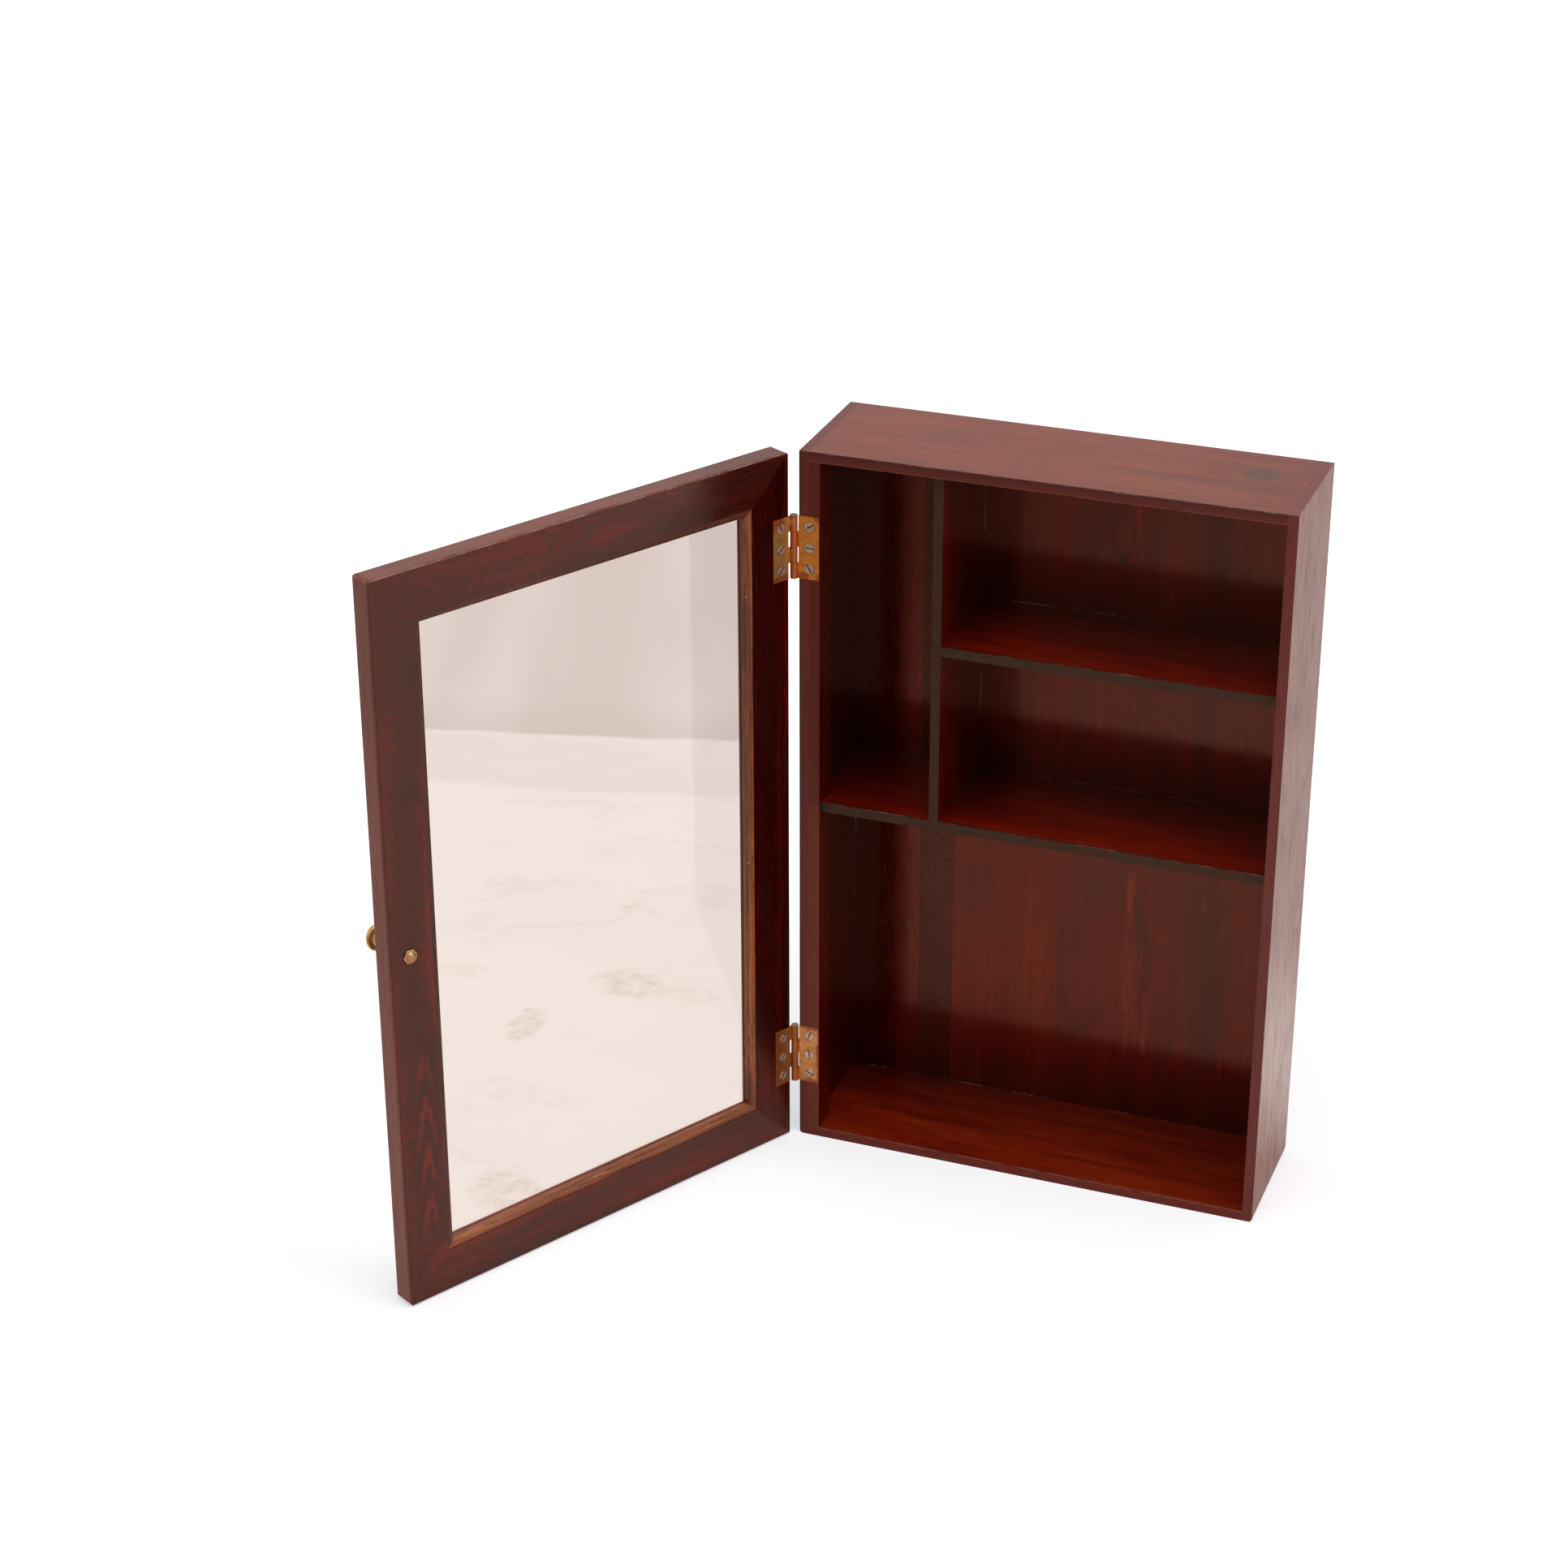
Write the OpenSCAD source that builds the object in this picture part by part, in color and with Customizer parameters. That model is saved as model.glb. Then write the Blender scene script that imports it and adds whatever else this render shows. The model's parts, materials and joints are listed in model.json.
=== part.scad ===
// Wall display case with a glazed door hung on two brass butt hinges.
// Millimetres, +Z up. The front faces -Y and the base stands on Z = 0.
// The middle of the case's footprint is the origin. The door is drawn shut
// and then swung open about its hinge pins.

/* [Case] */
// Width over the outside of the two sides.
case_width = 378; // [340:2:440]
// Height of the two sides.
case_height = 594; // [570:2:680]
// Depth from the front edges to the back.
case_depth = 113; // [100:1:140]
// Thickness of the sides, the top and the bottom.
board_thickness = 8; // [7:0.5:9]
// Radius of the two lower corners, seen from the front.
foot_radius = 3; // [1:0.25:5]
// Thickness of the boards that make the back.
back_thickness = 4.5; // [3.5:0.5:6]
// Width of the batten glued inside the left side, behind the hinges.
batten_width = 8.4; // [8.2:0.2:12]
// Depth of that batten from the front edge.
batten_depth = 23; // [20:1:30]

/* [Back boards, from the left] */
// Width of the plain board at the left.
back_left_width = 55.7; // [46:1:66]
// Width of the narrow strip beside it.
back_strip_width = 29; // [22:1:36]
// Width of the straight-grained board.
back_straight_width = 89.3; // [79:1:99]
// Width of the figured board.
back_figured_width = 140.5; // [130:1:148]

/* [Shelves] */
// Height of the middle shelf's upper face.
shelf_height = 302; // [290:2:320]
// Height of the short shelf's upper face.
short_shelf_height = 449; // [430:2:470]
// Thickness of both shelves.
shelf_thickness = 8; // [6:0.5:10]
// Thickness of the upright divider.
divider_thickness = 7.5; // [6:0.5:10]
// Distance of the divider's middle from the outside of the left side.
divider_position = 107.8; // [90:2:150]
// How far the shelves and the divider stand back from the front edges.
shelf_recess = 6; // [4:0.5:10]
// Depth of the housings that take their ends.
housing_depth = 2.5; // [1.5:0.5:3]
// Width of the slip that fills the shelf's notch beside the batten.
slip_width = 3.4; // [2:0.2:6]

/* [Door frame] */
// Angle at which the door stands open.
door_angle = 118.5; // [90:0.5:140]
// Thickness of the door frame.
door_thickness = 19; // [17:0.5:22]
// Gap between the shut door and the case.
door_gap = 1.2; // [0.8:0.2:2]
// How much shorter than the case the door is, at top and bottom.
door_end_clearance = 0.5; // [0.4:0.1:1.5]
// Width of a frame member, from its outer edge to the sight edge.
member_width = 42.4; // [38:0.2:48]
// Width of the lip that the glass rests on.
lip_width = 6.1; // [5:0.1:8]
// Depth of the glass rebate from the inner face.
rebate_depth = 9.6; // [8.8:0.1:10.6]
// Height of the square step beside the glass on the outer side.
sight_step = 1.9; // [1:0.1:3]
// Width of the bevel on the outer side.
front_bevel = 7.4; // [5:0.2:10]
// Radius of the long arrises.
arris_radius = 2; // [1:0.25:3]
// Radius of the four corners seen from the front.
corner_radius = 4.5; // [2:0.25:5]

/* [Glass and beads] */
// Thickness of the glass.
glass_thickness = 2.3; // [2:0.1:3]
// Clearance round the glass in its rebate.
glass_clearance = 1; // [0.5:0.25:2]
// How far the beads lie below the inner face.
bead_sink = 0.6; // [0.2:0.1:1.2]
// Radius of the rounded arris of a bead.
bead_round = 2.6; // [1.5:0.1:3.2]
// Diameter of the brads that hold the beads.
brad_diameter = 1.2; // [1:0.1:1.4]
// Length of those brads.
brad_length = 12; // [9:0.5:14]

/* [Hinges] */
// Length of a hinge.
hinge_length = 50.8; // [44:0.4:60]
// Thickness of a leaf.
leaf_thickness = 1.4; // [1:0.1:2]
// Distance from the pin to the inner edge of a leaf.
leaf_reach = 19.8; // [18:0.2:20.4]
// Distance of the pin outside the case.
pin_offset = 4; // [3.8:0.1:5]
// Diameter of the barrel.
barrel_diameter = 5.8; // [5:0.1:6]
// Diameter of the pin.
pin_diameter = 2.8; // [2.2:0.1:3]
// Radial running clearance of the pin in the case leaf.
pin_clearance = 0.05; // [0.02:0.01:0.08]
// Thickness of the pin's flat head.
pin_head = 0.8; // [0.5:0.1:1.2]
// Gap between two knuckles.
knuckle_gap = 0.3; // [0.2:0.05:0.4]
// Gap between the case leaf's edge and the door's knuckles.
case_leaf_relief = 0.5; // [0.4:0.1:1]
// Gap between the door leaf's edge and the case's knuckles.
door_leaf_relief = 1.9; // [1:0.1:2.5]
// Distance of the upper hinge below the top of the case.
hinge_top_inset = 52; // [44:1:80]
// Distance of the lower hinge above the bottom of the case.
hinge_bottom_inset = 50; // [44:1:80]

/* [Screws] */
// Head diameter of a hinge screw.
screw_head = 7.7; // [6.6:0.1:8]
// Shank diameter of a hinge screw.
screw_shank = 3.8; // [3:0.1:4.2]
// Length of a hinge screw.
screw_length = 15; // [12:0.5:16]
// Distance from screw to screw.
screw_spacing = 17.1; // [14:0.1:17.4]
// Distance of the screws from the outside of the case.
screw_inset = 8; // [6.5:0.1:9]
// Width of the slot in a screw's head.
slot_width = 1; // [0.6:0.1:1.4]
// Depth of that slot.
slot_depth = 0.9; // [0.5:0.1:1.1]

/* [Knob] */
// Distance of the knob's axis from the door's free edge.
knob_inset = 17.5; // [14:0.5:24]
// Largest diameter of the knob.
knob_diameter = 22; // [20:0.2:30]
// How far the knob stands out from the door.
knob_length = 26; // [22:0.5:32]
// Diameter of the knob's foot.
knob_foot = 16; // [13:0.5:18]
// Diameter of the knob's neck.
knob_neck = 9; // [8:0.5:12]
// Diameter of the stud that holds the knob.
stud_diameter = 5; // [4:0.5:6]
// Width across the flats of the nut.
nut_width = 11; // [10:0.5:12.5]
// Thickness of the nut's flats.
nut_thickness = 2.4; // [2:0.1:4]
// Diameter of the nut's dome.
nut_dome = 8; // [7.5:0.5:9]
// Height of the nut's dome.
dome_height = 1.6; // [1:0.1:2]
// How deep the nut is let into the stile.
nut_recess = 1.2; // [0.5:0.1:2]

/* [Hidden] */
round_steps = 48;
small_steps = 24;
arc_steps = 5;
overcut = 1;
wood_light = "#8a5244";
wood_dark = "#6a3228";
wood_bead = "#8d5f3e";
brass = "#c8964c";
steel = "#b3aca6";
glass = "#dfe9ea";

door_height = case_height - 2 * door_end_clearance;
rebate_width = member_width - lip_width;
shelf_back = case_depth - back_thickness;
inner_right = case_width - board_thickness;
inner_top = case_height - board_thickness;
batten_inner = board_thickness + batten_width;
notch_inner = batten_inner + slip_width;
divider_left = divider_position - divider_thickness / 2;
divider_right = divider_position + divider_thickness / 2;
back_strip_start = board_thickness + back_left_width;
back_straight_start = back_strip_start + back_strip_width;
back_figured_start = back_straight_start + back_straight_width;
back_right_start = back_figured_start + back_figured_width;

pin_y = -door_gap / 2;
pin_reach = leaf_reach - pin_offset;
knuckle_pitch = hinge_length / 4;
knuckle_height = knuckle_pitch - knuckle_gap;
barrel_edge = barrel_diameter / 2 - pin_offset;
upper_hinge_foot = case_height - hinge_top_inset - hinge_length;
lower_hinge_foot = hinge_bottom_inset;
door_knuckles = [1, 3];
case_knuckles = [0, 2];
upper_case_slots = [-60, -8, 33];
upper_door_slots = [50, 45, -70];
lower_case_slots = [-25, -80, 72];
lower_door_slots = [55, 45, 50];

bead_depth = rebate_depth - glass_thickness;
brad_reach = member_width - bead_round * (1 - cos(45));
brad_level = bead_sink + bead_round * (1 - cos(45));
brad_end = 86;
stile_brads = [brad_end, door_height / 2 - 34, door_height - brad_end - 20];
rail_brads = [brad_end, case_width / 2 + 12, case_width - brad_end];

knob_x = case_width - knob_inset;
knob_z = case_height / 2;
head_start = knob_length * 0.7;
head_widest = knob_length * 0.77;
nut_room = nut_width / cos(30) + 0.3;
stud_depth = nut_thickness + dome_height / 2;

// Places: from the case's left front bottom corner to the shared frame.
module in_case() {
    translate([-case_width / 2, -case_depth / 2, 0]) children();
}

// The same corner, swung open with the door about the hinge pins.
module in_door() {
    in_case()
        translate([-pin_offset, pin_y, 0])
            rotate([0, 0, -door_angle])
                translate([pin_offset, -pin_y, 0]) children();
}

function arc(x, y, r, from, to) =
    [for (i = [0:arc_steps]) let (a = from + (to - from) * i / arc_steps)
        [x + r * cos(a), y + r * sin(a)]];

// ---- Hinges and screws, shared shapes ----

module screw_body() {
    rotate_extrude($fn = small_steps)
        polygon([[0, 0], [screw_head / 2, 0],
                 [screw_shank / 2, (screw_head - screw_shank) / 2],
                 [screw_shank / 2, screw_length - screw_shank],
                 [0, screw_length]]);
}

module screw(slot) {
    difference() {
        screw_body();
        rotate([0, 0, -slot])
            translate([-screw_head, -slot_width / 2, -overcut])
                cube([2 * screw_head, slot_width, slot_depth + overcut]);
    }
}

function screw_z(foot, i) = foot + hinge_length / 2 + (i - 1) * screw_spacing;

module case_screw_place(foot, i) {
    translate([screw_inset, 0, screw_z(foot, i)]) rotate([-90, 0, 0]) children();
}

module door_screw_place(foot, i) {
    translate([screw_inset, -door_gap, screw_z(foot, i)]) rotate([90, 0, 0]) children();
}

module case_screws(foot, slots) {
    for (i = [0:2]) case_screw_place(foot, i) screw(slots[i]);
}

module door_screws(foot, slots) {
    for (i = [0:2]) door_screw_place(foot, i) screw(slots[i]);
}

module case_hinge_cuts() {
    for (foot = [upper_hinge_foot, lower_hinge_foot]) {
        translate([-overcut, -overcut, foot])
            cube([pin_reach + overcut, leaf_thickness + overcut, hinge_length]);
        for (i = [0:2]) case_screw_place(foot, i) screw_body();
    }
}

module door_hinge_cuts() {
    for (foot = [upper_hinge_foot, lower_hinge_foot]) {
        translate([-overcut, -door_gap - leaf_thickness, foot])
            cube([pin_reach + overcut, leaf_thickness + overcut, hinge_length]);
        for (i = [0:2]) door_screw_place(foot, i) screw_body();
    }
}

module knuckle_at(foot, k) {
    translate([-pin_offset, pin_y, foot + k * knuckle_pitch + knuckle_gap / 2]) children();
}

module leaf(foot, knuckles, face, relief, bore) {
    start = barrel_edge + relief;
    difference() {
        union() {
            translate([start, face, foot]) cube([pin_reach - start, leaf_thickness, hinge_length]);
            for (k = knuckles) {
                knuckle_at(foot, k)
                    cylinder(d = barrel_diameter, h = knuckle_height, $fn = round_steps);
                translate([-pin_offset, face, foot + k * knuckle_pitch + knuckle_gap / 2])
                    cube([pin_offset + start + leaf_thickness, leaf_thickness, knuckle_height]);
            }
        }
        translate([-pin_offset, pin_y, foot - overcut])
            cylinder(d = bore, h = hinge_length + 2 * overcut, $fn = round_steps);
    }
}

module case_leaf(foot) {
    difference() {
        leaf(foot, case_knuckles, 0, case_leaf_relief, pin_diameter + 2 * pin_clearance);
        for (i = [0:2]) case_screw_place(foot, i) screw_body();
    }
}

module door_leaf(foot) {
    difference() {
        leaf(foot, door_knuckles, -door_gap - leaf_thickness, door_leaf_relief, pin_diameter);
        for (i = [0:2]) door_screw_place(foot, i) screw_body();
    }
}

module hinge_pin(foot) {
    translate([-pin_offset, pin_y, foot + knuckle_gap / 2])
        cylinder(d = pin_diameter, h = hinge_length - knuckle_gap, $fn = round_steps);
    translate([-pin_offset, pin_y, foot + hinge_length - knuckle_gap / 2])
        cylinder(d = barrel_diameter, h = pin_head, $fn = round_steps);
}

// ---- Case ----

module middle_shelf_board() {
    difference() {
        translate([board_thickness - housing_depth, shelf_recess, shelf_height - shelf_thickness])
            cube([inner_right - board_thickness + 2 * housing_depth,
                  shelf_back - shelf_recess, shelf_thickness]);
        translate([0, 0, shelf_height - shelf_thickness - overcut])
            cube([notch_inner, batten_depth, shelf_thickness + 2 * overcut]);
    }
}

module short_shelf_board() {
    translate([divider_right - housing_depth, shelf_recess,
               short_shelf_height - shelf_thickness])
        cube([inner_right - divider_right + 2 * housing_depth,
              shelf_back - shelf_recess, shelf_thickness]);
}

module divider_board() {
    translate([divider_left, shelf_recess, shelf_height - housing_depth])
        cube([divider_thickness, shelf_back - shelf_recess,
              inner_top - shelf_height + 2 * housing_depth]);
}

// A side with its outer face at X = 0, and its lower corner rounded.
module side_board() {
    translate([0, case_depth, 0])
        rotate([90, 0, 0])
            linear_extrude(height = case_depth)
                polygon(concat(
                    arc(foot_radius, foot_radius, foot_radius, 180, 270),
                    [[board_thickness, 0], [board_thickness, case_height], [0, case_height]]));
}

module left_side() {
    color(wood_light) in_case() difference() {
        side_board();
        case_hinge_cuts();
        middle_shelf_board();
    }
}

module right_side() {
    color(wood_light) in_case() difference() {
        translate([case_width, 0, 0]) mirror([1, 0, 0]) side_board();
        middle_shelf_board();
        short_shelf_board();
    }
}

module top_board() {
    color(wood_light) in_case() difference() {
        translate([board_thickness, 0, inner_top])
            cube([inner_right - board_thickness, case_depth, board_thickness]);
        divider_board();
    }
}

module bottom_board() {
    color(wood_light) in_case()
        translate([board_thickness, 0, 0])
            cube([inner_right - board_thickness, case_depth, board_thickness]);
}

module hinge_batten() {
    color(wood_dark) in_case() difference() {
        translate([board_thickness, 0, board_thickness])
            cube([batten_width, batten_depth, inner_top - board_thickness]);
        case_hinge_cuts();
    }
}

module middle_shelf() {
    color(wood_dark) in_case() difference() {
        middle_shelf_board();
        divider_board();
    }
}

module shelf_slip() {
    color(wood_light) in_case()
        translate([batten_inner, shelf_recess, shelf_height - shelf_thickness])
            cube([slip_width, batten_depth - shelf_recess, shelf_thickness]);
}

module short_shelf() {
    color(wood_dark) in_case() short_shelf_board();
}

module divider() {
    color(wood_dark) in_case() difference() {
        divider_board();
        short_shelf_board();
    }
}

module back_board(start, width) {
    in_case()
        translate([start, shelf_back, board_thickness])
            cube([width, back_thickness, inner_top - board_thickness]);
}

module back_board_left() {
    color(wood_dark) back_board(board_thickness, back_left_width);
}

module back_board_strip() {
    color(wood_light) back_board(back_strip_start, back_strip_width);
}

module back_board_straight() {
    color(wood_dark) back_board(back_straight_start, back_straight_width);
}

module back_board_figured() {
    color(wood_light) back_board(back_figured_start, back_figured_width);
}

module back_board_right() {
    color(wood_dark) back_board(back_right_start, inner_right - back_right_start);
}

module upper_hinge_case_leaf() {
    color(brass) in_case() case_leaf(upper_hinge_foot);
}

module lower_hinge_case_leaf() {
    color(brass) in_case() case_leaf(lower_hinge_foot);
}

module upper_case_screws() {
    color(steel) in_case() case_screws(upper_hinge_foot, upper_case_slots);
}

module lower_case_screws() {
    color(steel) in_case() case_screws(lower_hinge_foot, lower_case_slots);
}

// ---- Door ----

// Section of a member: across it from the outer edge, and out from the inner face.
module member_section() {
    polygon(concat(
        arc(arris_radius, arris_radius, arris_radius, 180, 270),
        [[rebate_width, 0], [rebate_width, rebate_depth], [member_width, rebate_depth],
         [member_width, rebate_depth + sight_step], [member_width - front_bevel, door_thickness]],
        arc(arris_radius, door_thickness - arris_radius, arris_radius, 90, 180)));
}

module bead_section() {
    polygon(concat(
        [[rebate_width, bead_depth], [rebate_width, bead_sink]],
        arc(member_width - bead_round, bead_sink + bead_round, bead_round, 270, 360),
        [[member_width, bead_depth]]));
}

// Room between the mitres of a member of this length, with rounded outer corners.
module mitre_room(length) {
    tip = member_width + overcut;
    translate([0, door_thickness + overcut, 0])
        rotate([90, 0, 0])
            linear_extrude(height = door_thickness + 2 * overcut)
                polygon(concat(
                    [[tip, length - tip], [tip, tip]],
                    arc(corner_radius, corner_radius, corner_radius, 225, 180),
                    arc(corner_radius, length - corner_radius, corner_radius, 180, 135)));
}

module mitred(length) {
    intersection() {
        linear_extrude(height = length) children();
        mitre_room(length);
    }
}

module brads(places) {
    for (z = places)
        translate([brad_reach, brad_level, z])
            rotate([-90, 0, 45])
                cylinder(d = brad_diameter, h = brad_length, $fn = small_steps);
}

// Places of the four members, each drawn along Z with its outer edge at X = 0.
module at_hinge_side() {
    translate([0, -door_gap, door_end_clearance + door_height]) rotate([180, 0, 0]) children();
}

module at_knob_side() {
    translate([case_width, -door_gap, door_end_clearance]) rotate([0, 0, 180]) children();
}

module at_bottom() {
    translate([0, -door_gap, door_end_clearance]) rotate(a = 180, v = [1, 0, 1]) children();
}

module at_top() {
    translate([case_width, -door_gap, door_end_clearance + door_height])
        rotate(a = 180, v = [1, 0, -1]) children();
}

function turned(length, places) = [for (p = places) length - p];

hinge_brads = turned(door_height, stile_brads);
top_brads = turned(case_width, rail_brads);

module hinge_stile() {
    color(wood_dark) in_door() difference() {
        at_hinge_side() difference() {
            mitred(door_height) member_section();
            brads(hinge_brads);
        }
        door_hinge_cuts();
    }
}

module knob_place() {
    translate([knob_x, -door_gap, knob_z]) rotate([90, 0, 0]) children();
}

module knob_stile() {
    color(wood_dark) in_door() difference() {
        at_knob_side() difference() {
            mitred(door_height) member_section();
            brads(stile_brads);
        }
        knob_place() {
            translate([0, 0, -overcut])
                cylinder(d = stud_diameter, h = door_thickness + 2 * overcut, $fn = round_steps);
            translate([0, 0, -overcut])
                cylinder(d = nut_room, h = nut_recess + overcut, $fn = round_steps);
        }
    }
}

module bottom_rail() {
    color(wood_dark) in_door() at_bottom() difference() {
        mitred(case_width) member_section();
        brads(rail_brads);
    }
}

module top_rail() {
    color(wood_dark) in_door() at_top() difference() {
        mitred(case_width) member_section();
        brads(top_brads);
    }
}

module glass_pane() {
    edge = rebate_width + glass_clearance;
    color(glass, 0.3) in_door()
        translate([edge, -door_gap - rebate_depth, door_end_clearance + edge])
            cube([case_width - 2 * edge, glass_thickness, door_height - 2 * edge]);
}

module bead(length, places) {
    difference() {
        mitred(length) bead_section();
        brads(places);
    }
}

module bead_hinge_side() {
    color(wood_bead) in_door() at_hinge_side() bead(door_height, hinge_brads);
}

module bead_knob_side() {
    color(wood_bead) in_door() at_knob_side() bead(door_height, stile_brads);
}

module bead_bottom() {
    color(wood_bead) in_door() at_bottom() bead(case_width, rail_brads);
}

module bead_top() {
    color(wood_bead) in_door() at_top() bead(case_width, top_brads);
}

module bead_brads() {
    color(steel) in_door() {
        at_hinge_side() brads(hinge_brads);
        at_knob_side() brads(stile_brads);
        at_bottom() brads(rail_brads);
        at_top() brads(top_brads);
    }
}

// Turned knob on its stud; the stud passes through the stile into the nut.
module knob() {
    color(brass) in_door() knob_place() {
        translate([0, 0, door_thickness]) rotate_extrude($fn = round_steps)
            polygon([[0, 0], [knob_foot / 2, 0], [knob_foot / 2, 1.2],
                     [knob_foot / 2 - 1.4, 2.2], [knob_neck / 2 + 0.6, 4], [knob_neck / 2, 7],
                     [knob_neck / 2, 11], [knob_neck / 2 + 1.2, 14],
                     [knob_diameter / 3, head_start - 1], [knob_diameter / 3, head_start],
                     [knob_diameter / 2 - 0.8, head_start + 0.6],
                     [knob_diameter / 2, head_widest],
                     [knob_diameter / 2 - 0.6, head_widest + 1.4],
                     [knob_diameter * 0.39, knob_length - 1.6],
                     [knob_diameter * 0.21, knob_length - 0.4], [0, knob_length]]);
        translate([0, 0, nut_recess - stud_depth])
            cylinder(d = stud_diameter, h = door_thickness - nut_recess + stud_depth,
                     $fn = round_steps);
    }
}

// Capped nut: chamfered hexagon with a dome, facing into the case.
module knob_nut() {
    color(brass) in_door() knob_place() translate([0, 0, nut_recess]) mirror([0, 0, 1])
        difference() {
            union() {
                intersection() {
                    cylinder(d = nut_width / cos(30), h = nut_thickness, $fn = 6);
                    rotate_extrude($fn = round_steps)
                        polygon([[0, 0], [nut_width * 0.56, 0],
                                 [nut_width * 0.56, nut_thickness * 0.7],
                                 [nut_width * 0.46, nut_thickness], [0, nut_thickness]]);
                }
                rotate_extrude($fn = round_steps)
                    polygon([[0, 0], [nut_dome / 2, 0], [nut_dome / 2, nut_thickness],
                             [nut_dome * 0.43, nut_thickness + dome_height * 0.5],
                             [nut_dome * 0.27, nut_thickness + dome_height * 0.87],
                             [0, nut_thickness + dome_height]]);
            }
            translate([0, 0, -overcut])
                cylinder(d = stud_diameter, h = stud_depth + overcut, $fn = round_steps);
        }
}

module upper_hinge_door_leaf() {
    color(brass) in_door() door_leaf(upper_hinge_foot);
}

module lower_hinge_door_leaf() {
    color(brass) in_door() door_leaf(lower_hinge_foot);
}

module upper_hinge_pin() {
    color(steel) in_door() hinge_pin(upper_hinge_foot);
}

module lower_hinge_pin() {
    color(steel) in_door() hinge_pin(lower_hinge_foot);
}

module upper_door_screws() {
    color(steel) in_door() door_screws(upper_hinge_foot, upper_door_slots);
}

module lower_door_screws() {
    color(steel) in_door() door_screws(lower_hinge_foot, lower_door_slots);
}

left_side();
right_side();
top_board();
bottom_board();
hinge_batten();
middle_shelf();
shelf_slip();
short_shelf();
divider();
back_board_left();
back_board_strip();
back_board_straight();
back_board_figured();
back_board_right();
upper_hinge_case_leaf();
lower_hinge_case_leaf();
upper_case_screws();
lower_case_screws();
hinge_stile();
knob_stile();
top_rail();
bottom_rail();
glass_pane();
bead_hinge_side();
bead_knob_side();
bead_top();
bead_bottom();
bead_brads();
knob();
knob_nut();
upper_hinge_door_leaf();
lower_hinge_door_leaf();
upper_hinge_pin();
lower_hinge_pin();
upper_door_screws();
lower_door_screws();
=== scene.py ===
import bpy
import json
import math
from mathutils import Matrix, Vector

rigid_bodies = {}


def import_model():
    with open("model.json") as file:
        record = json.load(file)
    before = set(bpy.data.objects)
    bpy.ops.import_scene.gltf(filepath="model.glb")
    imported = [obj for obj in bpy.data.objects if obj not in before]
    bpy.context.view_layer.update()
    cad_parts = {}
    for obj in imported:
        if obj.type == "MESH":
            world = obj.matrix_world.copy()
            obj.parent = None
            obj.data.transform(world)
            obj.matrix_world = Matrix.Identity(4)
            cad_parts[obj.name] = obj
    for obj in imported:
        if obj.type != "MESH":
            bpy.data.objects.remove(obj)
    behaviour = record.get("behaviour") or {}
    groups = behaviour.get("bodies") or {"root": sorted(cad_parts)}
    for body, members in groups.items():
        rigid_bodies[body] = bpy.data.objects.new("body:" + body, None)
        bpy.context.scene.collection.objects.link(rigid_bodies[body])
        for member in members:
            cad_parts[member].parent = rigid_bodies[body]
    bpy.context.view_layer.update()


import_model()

# ---- Camera ----
# It stands to the right of the case and above it, and looks down into the
# open compartments.

look_round = math.radians(20.927)
look_down = math.radians(26.245)
look_roll = math.radians(-0.201)
film_width = 36
lens_to_film = 4221.2 / 1932
camera_stand = Vector((0.65353, -2.29344, 1.49641))
to_camera = Vector((math.sin(look_round) * math.cos(look_down),
                    -math.cos(look_round) * math.cos(look_down),
                    math.sin(look_down)))
across_view = Vector((0, 0, 1)).cross(to_camera).normalized()
up_view = to_camera.cross(across_view)
camera = bpy.data.objects.new("camera", bpy.data.cameras.new("camera"))
bpy.context.scene.collection.objects.link(camera)
camera.data.sensor_width = film_width
camera.data.lens = film_width * lens_to_film
camera.data.clip_start = 0.05
camera.data.clip_end = 60
turned = Matrix((across_view * math.cos(look_roll) + up_view * math.sin(look_roll),
                 up_view * math.cos(look_roll) - across_view * math.sin(look_roll),
                 to_camera)).transposed().to_4x4()
turned.translation = camera_stand
camera.matrix_world = turned
bpy.context.scene.camera = camera


# ---- Studio: cloth, lamps and room light ----
# A pale pinkish cloth lies under the case. Beyond a hem line the floor is painted greyer, in place of a
# hanging backdrop, with painted shade in its folds. The lamps are large soft boxes, and the room is pale.


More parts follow.
